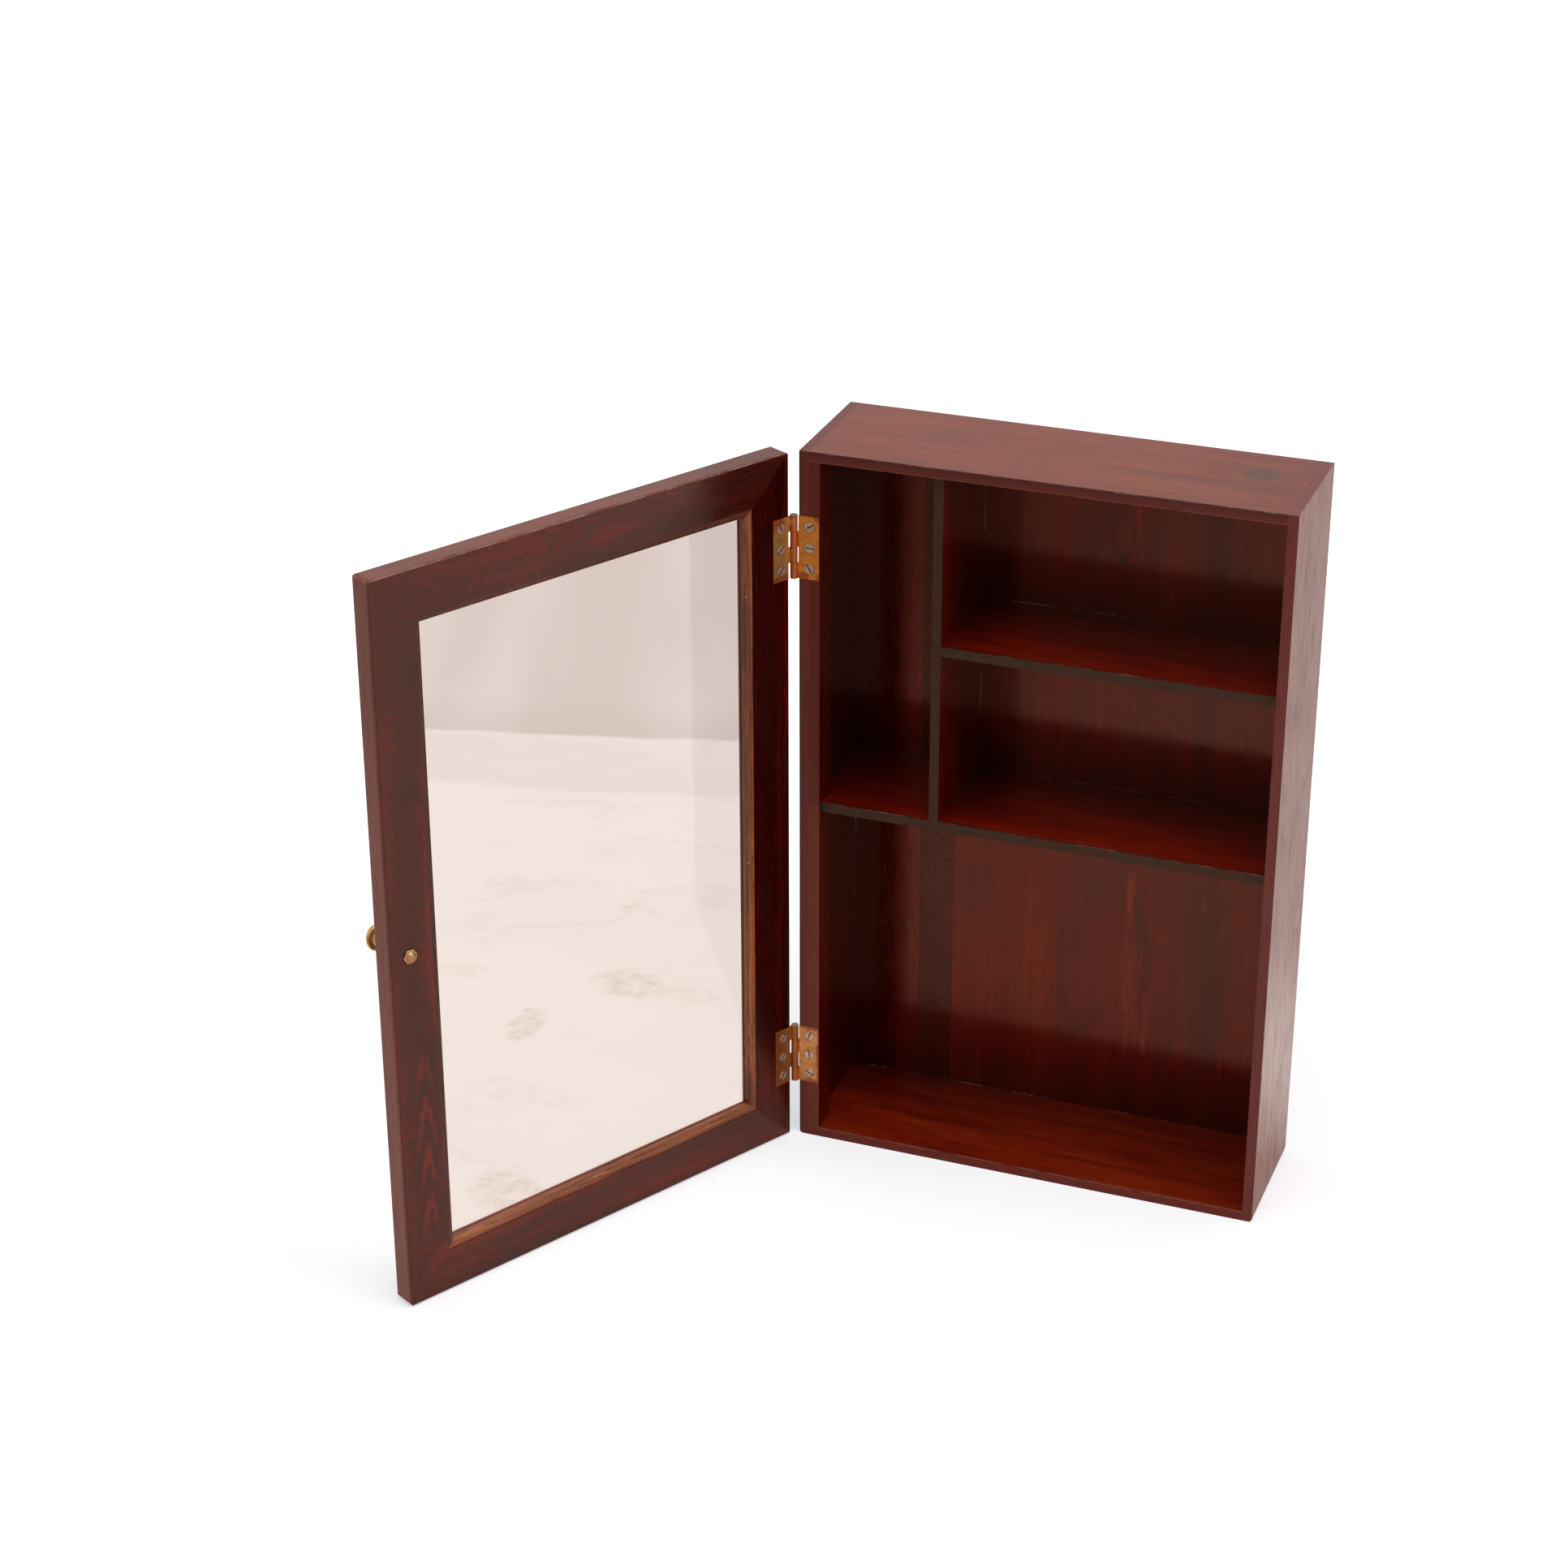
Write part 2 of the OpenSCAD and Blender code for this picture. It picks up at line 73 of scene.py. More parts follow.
class Finish:
    """Builds the node material of one surface."""

    def __init__(self, name):
        self.paint = bpy.data.materials.new(name)
        self.paint.use_nodes = True
        self.nodes = self.paint.node_tree.nodes
        self.link = self.paint.node_tree.links.new
        self.skin = self.nodes["Principled BSDF"]
        self.end = self.nodes["Material Output"]
        self.place = self.nodes.new("ShaderNodeTexCoord").outputs["Object"]

    def feed(self, socket, value):
        if isinstance(value, bpy.types.NodeSocket):
            self.link(value, socket)
        elif hasattr(value, "__len__") and len(socket.default_value) > len(value):
            socket.default_value = (*value, 1)
        else:
            socket.default_value = value

    def node(self, kind, inputs=(), out=0, **settings):
        made = self.nodes.new("ShaderNode" + kind)
        for key, value in settings.items():
            setattr(made, key, value)
        for socket, value in dict(inputs).items():
            self.feed(made.inputs[socket], value)
        return made.outputs[out]

    def sum(self, how, a, b=0.0):
        return self.node("Math", {0: a, 1: b}, operation=how)

    def both(self, *masks):
        share = masks[0]
        for mask in masks[1:]:
            share = self.sum("MULTIPLY", share, mask)
        return share

    def span(self, value, low, high, to_low=0.0, to_high=1.0):
        """to_low to to_high as value goes from low to high, smoothly and no further."""
        return self.node("MapRange", {"Value": value, "From Min": low, "From Max": high,
                                      "To Min": to_low, "To Max": to_high},
                         interpolation_type="SMOOTHSTEP")

    def axes(self, vector):
        return [self.node("SeparateXYZ", {0: vector}, i) for i in range(3)]

    def between(self, value, low, high, soft):
        """1 where value lies between low and high, with soft borders."""
        return self.both(self.span(value, low - soft, low + soft),
                         self.span(value, high + soft, high - soft))

    def spot(self, plane, middle, size, soft=0.5):
        """1 inside an ellipse on a plane, fading out over the share soft of its size."""
        off = self.node("VectorMath", {0: plane, 1: (*middle, 0)}, operation="SUBTRACT")
        share = self.node("VectorMath", {0: off, 1: (*size, 1)}, operation="DIVIDE")
        reach = self.node("VectorMath", {0: share}, 1, operation="LENGTH")
        return self.span(reach, 1 + soft, 1 - soft)

    def vein(self, value, width):
        """1 where value is close to a half, so that noise turns into thin wandering lines."""
        return self.span(self.sum("ABSOLUTE", self.sum("SUBTRACT", value, 0.5)), width, 0.0)

    def blend(self, share, a, b, how="MIX"):
        return self.node("Mix", {0: share, 6: a, 7: b}, 2, data_type="RGBA", blend_type=how)

    def join(self, x, y, z):
        return self.node("CombineXYZ", {0: x, 1: y, 2: z})

    def cloud(self, vector, size=1.0, detail=3.0, rough=0.5, stretch=(1, 1, 1), shift=0.0):
        """Soft noise, about 0.3 to 0.7, stretched and shifted to choose another part of it."""
        spread = self.node("Mapping", {"Vector": vector, "Location": (shift, shift * 0.7, shift * 1.3),
                                       "Scale": stretch})
        return self.node("TexNoise", {"Vector": spread, "Scale": size, "Detail": detail,
                                      "Roughness": rough})

    def stir(self, plane, vector, size, reach, rough=0.5):
        """plane with its points pushed about by noise, at most by half of reach."""
        push = self.node("TexNoise", {"Vector": vector, "Scale": size, "Detail": 3.0, "Roughness": rough}, 1)
        push = self.node("VectorMath", {0: push, 1: (0.5, 0.5, 0.5)}, operation="SUBTRACT")
        push = self.node("VectorMath", {0: push, 1: (*reach, 0)}, operation="MULTIPLY")
        return self.node("VectorMath", {0: plane, 1: push}, operation="ADD")


near_cloth = (0.88, 0.77, 0.72)
far_cloth = (0.70, 0.59, 0.545)
hem_slope, hem_distance = 0.264, 0.748
view_side, view_away = 0.934, 0.357
cloth = Finish("floor_cloth")
x, y, _ = cloth.axes(cloth.place)
ground = cloth.join(x, y, 0.0)
beyond = cloth.sum("SUBTRACT", y, cloth.sum("ADD", cloth.sum("MULTIPLY", x, hem_slope), hem_distance))
sideways = cloth.sum("ADD", cloth.sum("MULTIPLY", x, view_side), cloth.sum("MULTIPLY", y, view_away))
lengthways = cloth.sum("SUBTRACT", cloth.sum("MULTIPLY", y, view_side), cloth.sum("MULTIPLY", x, view_away))
hanging = cloth.join(sideways, cloth.sum("MULTIPLY", lengthways, 0.10), 0.0)
folds = cloth.cloud(hanging, 5.5, 3.0, 0.55, shift=3.0)
creases = cloth.cloud(cloth.place, 2.2, 4.0, 0.6, (1.0, 2.0, 1), 8.0)
pressed = cloth.join(sideways, cloth.sum("MULTIPLY", lengthways, 2.4), 0.0)
# Painted shade: thin darker lines along the creases of the near cloth.
wrinkle = cloth.vein(cloth.cloud(pressed, 4.0, 4.0, 0.55, shift=5.0), 0.028)
wrinkle = cloth.both(wrinkle, cloth.span(creases, 0.40, 0.62), 0.35)
seen_near = cloth.blend(cloth.span(creases, 0.35, 0.7, 0.0, 0.5), (0.94, 0.825, 0.775), (0.88, 0.765, 0.71))
seen_near = cloth.blend(wrinkle, seen_near, (0.78, 0.655, 0.60))
# Painted shade in the backdrop's folds, and darker at its foot along the hem line.
seen_far = cloth.blend(cloth.span(folds, 0.33, 0.67), (0.83, 0.715, 0.67), (0.705, 0.585, 0.54))
seen_far = cloth.blend(cloth.span(beyond, 0.10, 0.0, 0.0, 0.35), seen_far, (0.60, 0.495, 0.45))
rumple = cloth.sum("MULTIPLY", cloth.sum("SUBTRACT", cloth.cloud(ground, 7.0, 3.0, 0.5), 0.5), 0.035)
edge = cloth.sum("ADD", beyond, rumple)
seen = cloth.blend(cloth.span(edge, -0.006, 0.006), seen_near, seen_far)
hem = cloth.both(cloth.between(edge, -0.125, -0.004, 0.006), cloth.span(creases, 0.3, 0.7, 0.2, 0.6))
seen = cloth.blend(hem, seen, (0.81, 0.69, 0.635))
grime = cloth.cloud(cloth.place, 60.0, 4.0, 0.7)
ragged = cloth.stir(ground, cloth.place, 45.0, (0.03, 0.03))
for middle, size, depth in (((-0.416, 0.119), (0.030, 0.022), 0.70), ((-0.473, 0.024), (0.014, 0.026), 0.75),
                            ((-0.381, -0.219), (0.026, 0.026), 0.75), ((-0.359, 0.122), (0.022, 0.014), 0.3),
                            ((-0.458, 0.252), (0.026, 0.005), 0.35), ((-0.484, 0.392), (0.003, 0.0025), 1.4),
                            ((-0.560, 0.090), (0.030, 0.012), 0.25), ((-0.430, -0.080), (0.050, 0.020), 0.2)):
    inner = cloth.sum("MULTIPLY", cloth.spot(ragged, middle, [0.7 * v for v in size], 0.5), 0.35)
    rim = cloth.sum("SUBTRACT", cloth.spot(ragged, middle, size, 0.4), inner)
    dark_patch = cloth.both(rim, cloth.span(grime, 0.36, 0.66, 0.10, 1.0))
    seen = cloth.blend(cloth.sum("MULTIPLY", dark_patch, depth), seen, (0.70, 0.49, 0.36))
thread = cloth.vein(cloth.cloud(cloth.place, 26.0, 4.0, 0.65), 0.018)
trodden = cloth.spot(ground, (-0.45, 0.02), (0.16, 0.16), 0.5)
trail = cloth.both(thread, trodden, cloth.span(creases, 0.45, 0.6), 0.30)
seen = cloth.blend(trail, seen, (0.74, 0.58, 0.50))
ray = cloth.nodes.new("ShaderNodeLightPath").outputs
# Painted shadow of the open door: the floor to the front left is darker for all but camera rays.
dim_front = cloth.spot(ground, (-0.75, -1.25), (0.6, 0.7), 0.45)
unseen = cloth.sum("SUBTRACT", 1.0, ray["Is Camera Ray"])
shade = cloth.blend(cloth.both(dim_front, unseen, 0.7), near_cloth, (0.25, 0.22, 0.20))
shade = cloth.blend(cloth.span(beyond, -0.03, 0.03), shade, far_cloth)
matt = cloth.node("BsdfDiffuse", {"Color": shade})
# Painted light: for reflected rays the floor glows, brightest just behind the case and again farther back,
# which paints the reflection on the case's right side.
behind = cloth.both(cloth.span(y, 0.03, 0.18, 0.07, 0.58), cloth.span(y, 0.20, 0.46, 1.0, 0.30))
behind = cloth.sum("ADD", behind, cloth.span(y, 0.6, 1.1, 0.0, 0.16))
away = cloth.spot(ground, (0, 0), (1.3, 1.3), 0.5)
plain = cloth.sum("SUBTRACT", 1.15, cloth.both(away, cloth.span(beyond, -0.10, -0.45), 0.60))
whiten = cloth.node("Emission", {"Color": (0.80, 0.93, 1.0),
                                 "Strength": cloth.both(ray["Is Camera Ray"], plain)})
glow = cloth.node("Emission", {"Color": (1, 0.97, 0.95),
                               "Strength": cloth.both(ray["Is Glossy Ray"], behind)})
lit = cloth.node("AddShader", {0: matt, 1: cloth.node("AddShader", {0: whiten, 1: glow})})
through_glass = cloth.node("Emission", {"Color": seen, "Strength": 1.0})
bounced = cloth.sum("ADD", ray["Glossy Depth"], ray["Diffuse Depth"])
direct = cloth.both(ray["Is Transmission Ray"], cloth.sum("LESS_THAN", bounced, 0.5))
cloth.feed(cloth.end.inputs["Surface"],
           cloth.node("MixShader", {0: direct, 1: lit, 2: through_glass}))
reach = 9
floor_mesh = bpy.data.meshes.new("floor_cloth")
floor_mesh.from_pydata([(-reach, -reach, 0), (reach, -reach, 0), (reach, reach, 0), (-reach, reach, 0)],
                       [], [(0, 1, 2, 3)])
floor_mesh.materials.append(cloth.paint)
floor_sheet = bpy.data.objects.new("floor_cloth", floor_mesh)
bpy.context.scene.collection.objects.link(floor_sheet)

diffuse_level, glossy_level, seen_level = 0.30, 0.62, 1.1
room = bpy.data.worlds.new("room")
bpy.context.scene.world = room
room.use_nodes = True
air = room.node_tree
room_light = air.nodes["Background"].inputs
room_light["Color"].default_value = (1.0, 0.97, 0.95, 1)
way = air.nodes.new("ShaderNodeLightPath").outputs
glossy, camera_seen = air.nodes.new("ShaderNodeMix"), air.nodes.new("ShaderNodeMix")
glossy.inputs[2].default_value, glossy.inputs[3].default_value = diffuse_level, glossy_level
camera_seen.inputs[3].default_value = seen_level
air.links.new(way["Is Glossy Ray"], glossy.inputs[0])
air.links.new(glossy.outputs[0], camera_seen.inputs[2])
air.links.new(way["Is Camera Ray"], camera_seen.inputs[0])
air.links.new(camera_seen.outputs[0], room_light["Strength"])


def soft_lamp(name, place, aim, width, watts):
    """A square soft box at place, turned towards aim."""
    lamp = bpy.data.objects.new(name, bpy.data.lights.new(name, "AREA"))
    bpy.context.scene.collection.objects.link(lamp)
    lamp.data.size = width
    lamp.data.energy = watts
    lamp.location = place
    lamp.rotation_mode = "QUATERNION"
    lamp.rotation_quaternion = (Vector(place) - Vector(aim)).to_track_quat("Z", "Y")


soft_lamp("overhead_lamp", (0.2, -0.4, 2.6), (0, 0, 0), 2.0, 33)
soft_lamp("right_lamp", (2.4, -0.6, 1.4), (0, 0, 0.3), 1.5, 14)
bpy.context.scene.view_settings.view_transform = "Standard"

# ---- Case: left and right side ----
# Two upright rosewood boards eight millimetres thick, lacquered all over. The show faces have faded to a
# paler pinkish red, the inner faces stay dark, and the left one is darkened further with painted shade.

open_by = math.radians(118.5)
hinge_line = Vector((-0.193, -0.0571, 0))
shut_shift = hinge_line - Matrix.Rotation(open_by, 3, "Z") @ hinge_line
thickness = 0.008
case_side, case_front, case_top = 0.189, -0.0565, 0.594
inner_side = case_side - thickness
middle_shelf_top = 0.302


def place_when_shut(s, on_door):
    """The place on the object; on the door, which stands open, the place it has when shut."""
    if on_door:
        return s.node("Mapping", {"Vector": s.place, "Location": shut_shift, "Rotation": (0, 0, open_by)})
    return s.place


def rosewood(name, lay, tones, heart, lean=(0.0, 0.0), pitch=0.004, swells=(), bands=(0.016, 0.5),
             mottle=0.4, rings=0.35, fibre=0.5, pores=0.7, grain=(520, 12), dashes=(1300, 80, 0.64),
             torn=0.05, stains=(), gloss=0.2, shine=0.5, tint=(1, 1, 1), seed=0.0, on_door=False,
             marks=None):
    """Lacquered rosewood, cut from a log whose heart runs beside the board.

    lay names the axes across the face, into the board and along the grain. tones are the
    body, the glow between bands, the dark bands and the pores. heart is the log's middle,
    across and into the board, and lean how far that moves for each metre along the grain.
    pitch is the width of a year's growth and rings how dark its line is. bands are the
    width and depth of the broad dark bands, and mottle is how cloudy they are. fibre is
    how dark the fibres are, and grain how fine, across and along. pores is how dark the
    open pores are, and dashes how fine across, how fine along and how few. torn is how
    much fibres and pores break up the gloss. marks adds what belongs to one piece.
    A swell (across, along, width, length, rise) bends the rings round it, and a stain
    (across, along, width, length, tone, depth) colours the wood there, both in metres.
    """
    s = Finish(name)
    s.tones = tones
    place = place_when_shut(s, on_door)
    axes = dict(zip("xyz", s.axes(place)))
    across, into, along = (axes[a] for a in lay)
    board = s.join(across, into, along)
    face = s.join(across, along, 0.0)
    wander = 0.03
    reach = []
    for value, middle, slope, size in ((across, heart[0], lean[0], 9.0), (into, heart[1], lean[1], 17.0)):
        drift = s.sum("SUBTRACT", s.cloud(board, size, 2.0, 0.5, (1, 1, 0.28), seed + size), 0.5)
        off = s.sum("SUBTRACT", value, s.sum("ADD", s.sum("MULTIPLY", along, slope), middle))
        off = s.sum("ADD", off, s.sum("MULTIPLY", drift, wander))
        reach.append(s.sum("MULTIPLY", off, off))
    reach = s.sum("SQRT", s.sum("ADD", *reach))
    swollen = 0.0
    for aside, up, width, length, rise in swells:
        hump = s.spot(face, (aside, up), (width, length), 0.95)
        reach = s.sum("ADD", reach, s.sum("MULTIPLY", hump, rise))
        swollen = s.sum("MAXIMUM", swollen, hump)
    ringed = s.join(reach, s.sum("MULTIPLY", along, 0.03), seed)
    veil = s.cloud(board, 24.0, 3.0, 0.6, (1, 1, 0.35), seed + 11)
    band = s.cloud(ringed, 1 / bands[0], 3.0, 0.55)
    band = s.sum("ADD", s.sum("MULTIPLY", band, 1 - mottle), s.sum("MULTIPLY", veil, mottle))
    uneven = s.cloud(ringed, 70.0, 2.0)
    year = s.sum("FRACT", s.sum("ADD", s.sum("DIVIDE", reach, pitch), s.sum("MULTIPLY", uneven, 2.2)))
    late = s.both(s.span(year, 0.2, 0.85), s.span(year, 1.0, 0.94))
    strand = s.cloud(board, 1.0, 3.0, 0.62, (grain[0], grain[0], grain[1]), seed)
    wisp = s.cloud(board, 1.0, 2.0, 0.5, (120, 120, 3.5), seed + 4)
    dash = s.cloud(board, 1.0, 1.0, 0.4, (dashes[0], dashes[0], dashes[1]), seed + 7)
    vessel = s.both(s.span(dash, dashes[2] - 0.04, dashes[2] + 0.04), s.span(late, 0.0, 0.8, 1.0, 0.35))
    body, glow, dark, pore = tones
    colour = s.blend(s.span(band, 0.52, 0.34, 0.0, 0.85), body, glow)
    colour = s.blend(s.span(band, 0.49, 0.63, 0.0, bands[1]), colour, dark)
    ring_depth = s.span(swollen, 0.05, 0.6, rings, max(rings, 0.65))
    colour = s.blend(s.both(late, ring_depth), colour, dark)
    drawn_out = s.node("Mapping", {"Vector": board, "Scale": (60, 60, 22)})
    wavy = s.stir(face, drawn_out, 1.0, (0.012, 0.045), 0.6)
    for aside, up, width, length, tone, depth in stains:
        patch = s.both(s.spot(wavy, (aside, up), (width, length), 0.6), s.span(wisp, 0.3, 0.6, 0.65, 1.0))
        colour = s.blend(s.sum("MULTIPLY", patch, depth), colour, tone)
    colour = s.blend(s.span(wisp, 0.45, 0.72, 0.0, fibre * 0.6), colour, dark)
    colour = s.blend(s.span(strand, 0.36, 0.70, 0.0, fibre), colour, dark)
    colour = s.blend(s.sum("MULTIPLY", vessel, pores), colour, pore)
    smear = s.cloud(place, 22.0, 3.0, 0.6, shift=seed)
    rough = s.span(smear, 0.3, 0.7, gloss - 0.04, gloss + 0.04)
    rough = s.sum("ADD", s.span(strand, 0.3, 0.7, 0.0, torn), rough)
    rough = s.sum("ADD", rough, s.sum("MULTIPLY", vessel, torn * 1.5))
    height = s.sum("SUBTRACT", s.sum("MULTIPLY", strand, 0.5), s.sum("MULTIPLY", vessel, pores))
    if marks:
        colour, rough = marks(s, axes, colour, rough)
    s.feed(s.skin.inputs["Base Color"], colour)
    s.feed(s.skin.inputs["Roughness"], rough)
    s.skin.inputs["Specular IOR Level"].default_value = shine
    s.skin.inputs["Specular Tint"].default_value = (*tint, 1)
    s.feed(s.skin.inputs["Normal"],
           s.node("Bump", {"Strength": 0.3, "Distance": 0.00012, "Height": height}))
    return s.paint


def finish_with(node, paint, eased=0.0):
    """Gives one piece its finish, and eases its sharp arrises by that much."""
    piece = bpy.data.objects[node]
    piece.data.materials.clear()
    piece.data.materials.append(paint)
    if eased:
        ease = piece.modifiers.new("eased_arris", "BEVEL")
        ease.width = eased
        ease.segments = 3
        ease.limit_method = "ANGLE"
        ease.angle_limit = math.radians(50)


def arris(s, a, b, a_edge, b_edge, width, along, broken=0.5, seed=0.0):
    """The pale line along an arris at a_edge, b_edge, partly wear and partly a painted highlight, broken up
    along the board.
    """
    near = s.spot(s.join(a, b, 0.0), (a_edge, b_edge), (width, width), 0.4)
    wear_and_glint = s.cloud(s.join(along, seed, 0.0), 38.0, 2.0, 0.5)
    chips = s.cloud(s.join(along, seed, 0.0), 300.0, 3.0, 0.7)
    wear_and_glint = s.sum("ADD", s.sum("MULTIPLY", wear_and_glint, 0.65), s.sum("MULTIPLY", chips, 0.35))
    return s.both(near, s.span(wear_and_glint, broken - 0.05, broken + 0.07))


end_grain_brown = (0.150, 0.024, 0.016)


def front_edge(s, at, ease=0.0010):
    """1 on the front edges of the case, fading out over the eased arris behind them."""
    return s.span(at["y"], case_front + ease, case_front + 0.0004)


def right_side_marks(s, at, colour, rough):
    behind_front = s.span(at["y"], case_front + 0.0002, case_front + 0.0006)
    inside = s.both(s.span(at["x"], inner_side + 0.0005, inner_side + 0.0001), behind_front)
    colour = s.blend(inside, colour, s.blend(1.0, colour, (0.50, 0.10, 0.04), "MULTIPLY"))
    colour = s.blend(s.both(front_edge(s, at), 0.8), colour, (0.150, 0.018, 0.010))
    end_grain = s.both(s.span(at["z"], case_top - 0.0025, case_top - 0.0008),
                       s.span(at["x"], case_side - 0.0002, case_side - 0.0014))
    colour = s.blend(s.both(end_grain, 0.7), colour, end_grain_brown)
    return colour, rough


def left_side_marks(s, at, colour, rough):
    behind_front = s.span(at["y"], case_front + 0.0002, case_front + 0.0006)
    inside = s.both(s.span(at["x"], -inner_side - 0.0005, -inner_side - 0.0001), behind_front)
    # The inner face is darker: partly wood that never faded, partly painted shade of the left compartment.
    dark_red = s.blend(0.6, s.blend(1.0, colour, (0.30, 0.05, 0.02), "MULTIPLY"), (0.048, 0.001, 0.0005))
    colour = s.blend(inside, colour, dark_red)
    front = front_edge(s, at)
    low = s.span(at["z"], middle_shelf_top + 0.002, middle_shelf_top - 0.012)
    edge = s.blend(low, (0.135, 0.014, 0.006), (0.150, 0.008, 0.002))
    colour = s.blend(s.both(front, 0.75), colour, edge)
    # Darker along the outer edge of the front, beside the hinge.
    dark_patch = s.both(front, s.span(at["x"], 0.0020 - case_side, 0.0006 - case_side))
    colour = s.blend(s.both(dark_patch, 0.85), colour, (0.020, 0.003, 0.002))
    end_grain = s.span(at["z"], case_top - 0.0012, case_top - 0.0004)
    colour = s.blend(s.both(end_grain, 0.7), colour, end_grain_brown)
    return colour, rough


pale_tones = ((0.315, 0.053, 0.028), (0.375, 0.074, 0.036), (0.185, 0.029, 0.017), (0.022, 0.006, 0.005))
pale_timber = rosewood("right_side_timber", "yxz", pale_tones, (0.16, 0.19), (0.02, 0.0), seed=2.0,
                       fibre=0.55, pores=1.0, mottle=0.3, gloss=0.12, grain=(430, 14),
                       dashes=(1050, 40, 0.60), torn=0.12, tint=(1.0, 0.92, 0.87), marks=right_side_marks,
                       stains=((0.0, 0.42, 0.012, 0.16, pale_tones[2], 0.4),
                               (0.02, 0.15, 0.010, 0.12, pale_tones[2], 0.3)))
finish_with("right_side", pale_timber, 0.0009)
show_tones = ((0.235, 0.044, 0.024), (0.30, 0.062, 0.030), (0.105, 0.018, 0.012), (0.022, 0.006, 0.005))
show_shine = (1.0, 0.86, 0.76)
show_timber = rosewood("left_side_timber", "yxz", show_tones, (-0.14, -0.19), (0.02, 0.0), seed=1.0,
                       fibre=0.6, tint=show_shine, marks=left_side_marks)
finish_with("left_side", show_timber, 0.0009)

# ---- Case: top and bottom ----
# Two lying boards let in between the sides. The top is the most faded, with a
# small filled knot near its right end; the bottom's upper face is the floor.


knot_at, knot_size = (0.145, 0.0138), (0.0135, 0.0115)
back_front = 0.052


def shaded(s, colour, share, depth):
    """Painted shade: the wood darkened by that share, times depth."""
    darker = s.blend(1.0, colour, (0.28, 0.2, 0.2), "MULTIPLY")
    return s.blend(s.both(share, depth), colour, darker)


def top_marks(s, at, colour, rough):
    under = case_top - thickness
    # Painted shade: the right part of the top is darker.
    colour = shaded(s, colour, s.span(at["x"], 0.0, 0.14), 0.25)
    # The upper part of the front face is painted darker than the lower part, as painted shade.
    low = s.span(at["z"], case_top - 0.0025, case_top - 0.0045)
    edge = s.blend(low, (0.075, 0.006, 0.003), (0.120, 0.009, 0.004))
    colour = s.blend(s.both(front_edge(s, at, 0.0012), 0.85), colour, edge)
    # Painted shade: the underside of the top is near-black.
    underside = s.span(at["z"], under + 0.0006, under + 0.0002)
    colour = s.blend(s.both(underside, 0.85), colour, (0.05, 0.003, 0.001))
    knot = s.spot(s.join(at["x"], at["y"], 0.0), knot_at, knot_size, 0.2)
    colour = s.blend(s.both(knot, 0.8), colour, (0.100, 0.042, 0.030))
    # Pale lines along the front arrises, upper and lower: partly wear, partly painted highlight.
    wear_and_glint = arris(s, at["y"], at["z"], case_front + 0.0003, case_top - 0.0004, 0.0004, at["x"], 0.53, 1.0)
    colour = s.blend(s.both(wear_and_glint, 0.65), colour, (0.42, 0.26, 0.24))
    wear_and_glint = arris(s, at["y"], at["z"], case_front + 0.0002, under + 0.0002, 0.0005, at["x"], 0.42, 2.0)
    colour = s.blend(s.both(wear_and_glint, 0.7), colour, (0.24, 0.075, 0.05))
    return colour, rough


def floor_marks(s, at, colour, rough):
    # Painted shade: the floor darkens towards its back and its left end.
    corner = s.both(s.span(at["y"], 0.0, back_front), s.span(at["x"], 0.06, -0.12, 0.2, 1.0))
    colour = shaded(s, colour, corner, 0.8)
    colour = s.blend(s.both(front_edge(s, at, 0.0012), 0.85), colour, (0.150, 0.017, 0.010))
    # Pale line along the front arris: partly wear, partly painted highlight.
    wear_and_glint = arris(s, at["y"], at["z"], case_front + 0.0003, thickness - 0.0002, 0.0006, at["x"], 0.45, 3.0)
    colour = s.blend(s.both(wear_and_glint, 0.7), colour, (0.30, 0.11, 0.085))
    return colour, rough


top_tones = ((0.275, 0.052, 0.023), (0.33, 0.072, 0.028), (0.20, 0.034, 0.018), (0.120, 0.024, 0.015))
smoke, amber, ink = (0.135, 0.050, 0.036), (0.38, 0.075, 0.024), (0.09, 0.06, 0.05)
top_timber = rosewood("top_timber", "yzx", top_tones, (-0.18, 0.62), (0.0, 0.02), pitch=0.0028,
                      swells=((knot_at[1], knot_at[0], 0.03, 0.04, 0.005),), bands=(0.010, 0.6), mottle=0.6,
                      rings=0.25, fibre=0.7, pores=0.5, grain=(460, 14), seed=3.0, gloss=0.22,
                      tint=(1.0, 0.93, 0.88), marks=top_marks,
                      stains=((0.01, -0.087, 0.02, 0.03, smoke, 0.25),
                              (-0.030, 0.100, 0.012, 0.06, amber, 0.7),
                              (0.000, 0.105, 0.006, 0.05, amber, 0.6),
                              (0.036, 0.120, 0.005, 0.05, amber, 0.6),
                              (-0.008, 0.075, 0.004, 0.06, top_tones[3], 0.5),
                              (0.028, 0.020, 0.006, 0.09, top_tones[3], 0.3),
                              (-0.050, -0.110, 0.006, 0.006, ink, 0.6)))
finish_with("top_board", top_timber, 0.0007)
floor_tones = ((0.290, 0.019, 0.002), (0.35, 0.036, 0.003), (0.125, 0.005, 0.001), (0.025, 0.002, 0.001))
floor_timber = rosewood("bottom_timber", "yzx", floor_tones, (-0.10, 0.30), (0.0, 0.03), bands=(0.008, 0.6),
                        mottle=0.5, rings=0.2, pitch=0.003, seed=4.0, fibre=0.45, grain=(420, 16), gloss=0.13,
                        tint=(1.0, 0.7, 0.6), marks=floor_marks,
                        stains=((-0.008, -0.085, 0.006, 0.05, floor_tones[2], 0.7),
                                (-0.030, 0.08, 0.003, 0.08, floor_tones[2], 0.7),
                                (0.020, 0.0, 0.006, 0.10, floor_tones[2], 0.5)))
finish_with("bottom_board", floor_timber, 0.0007)

# ---- Inside: batten, shelves and divider ----
# A batten behind the hinge edge, two shelves and the upright between them. Their
# front edges were left plain and have gone grey-brown; the faces are lacquered.

inner_shine = (1.0, 0.42, 0.28)
shelf_front = -0.0505
short_shelf_top = 0.449
divider_right = -0.0775
batten_right = -0.173


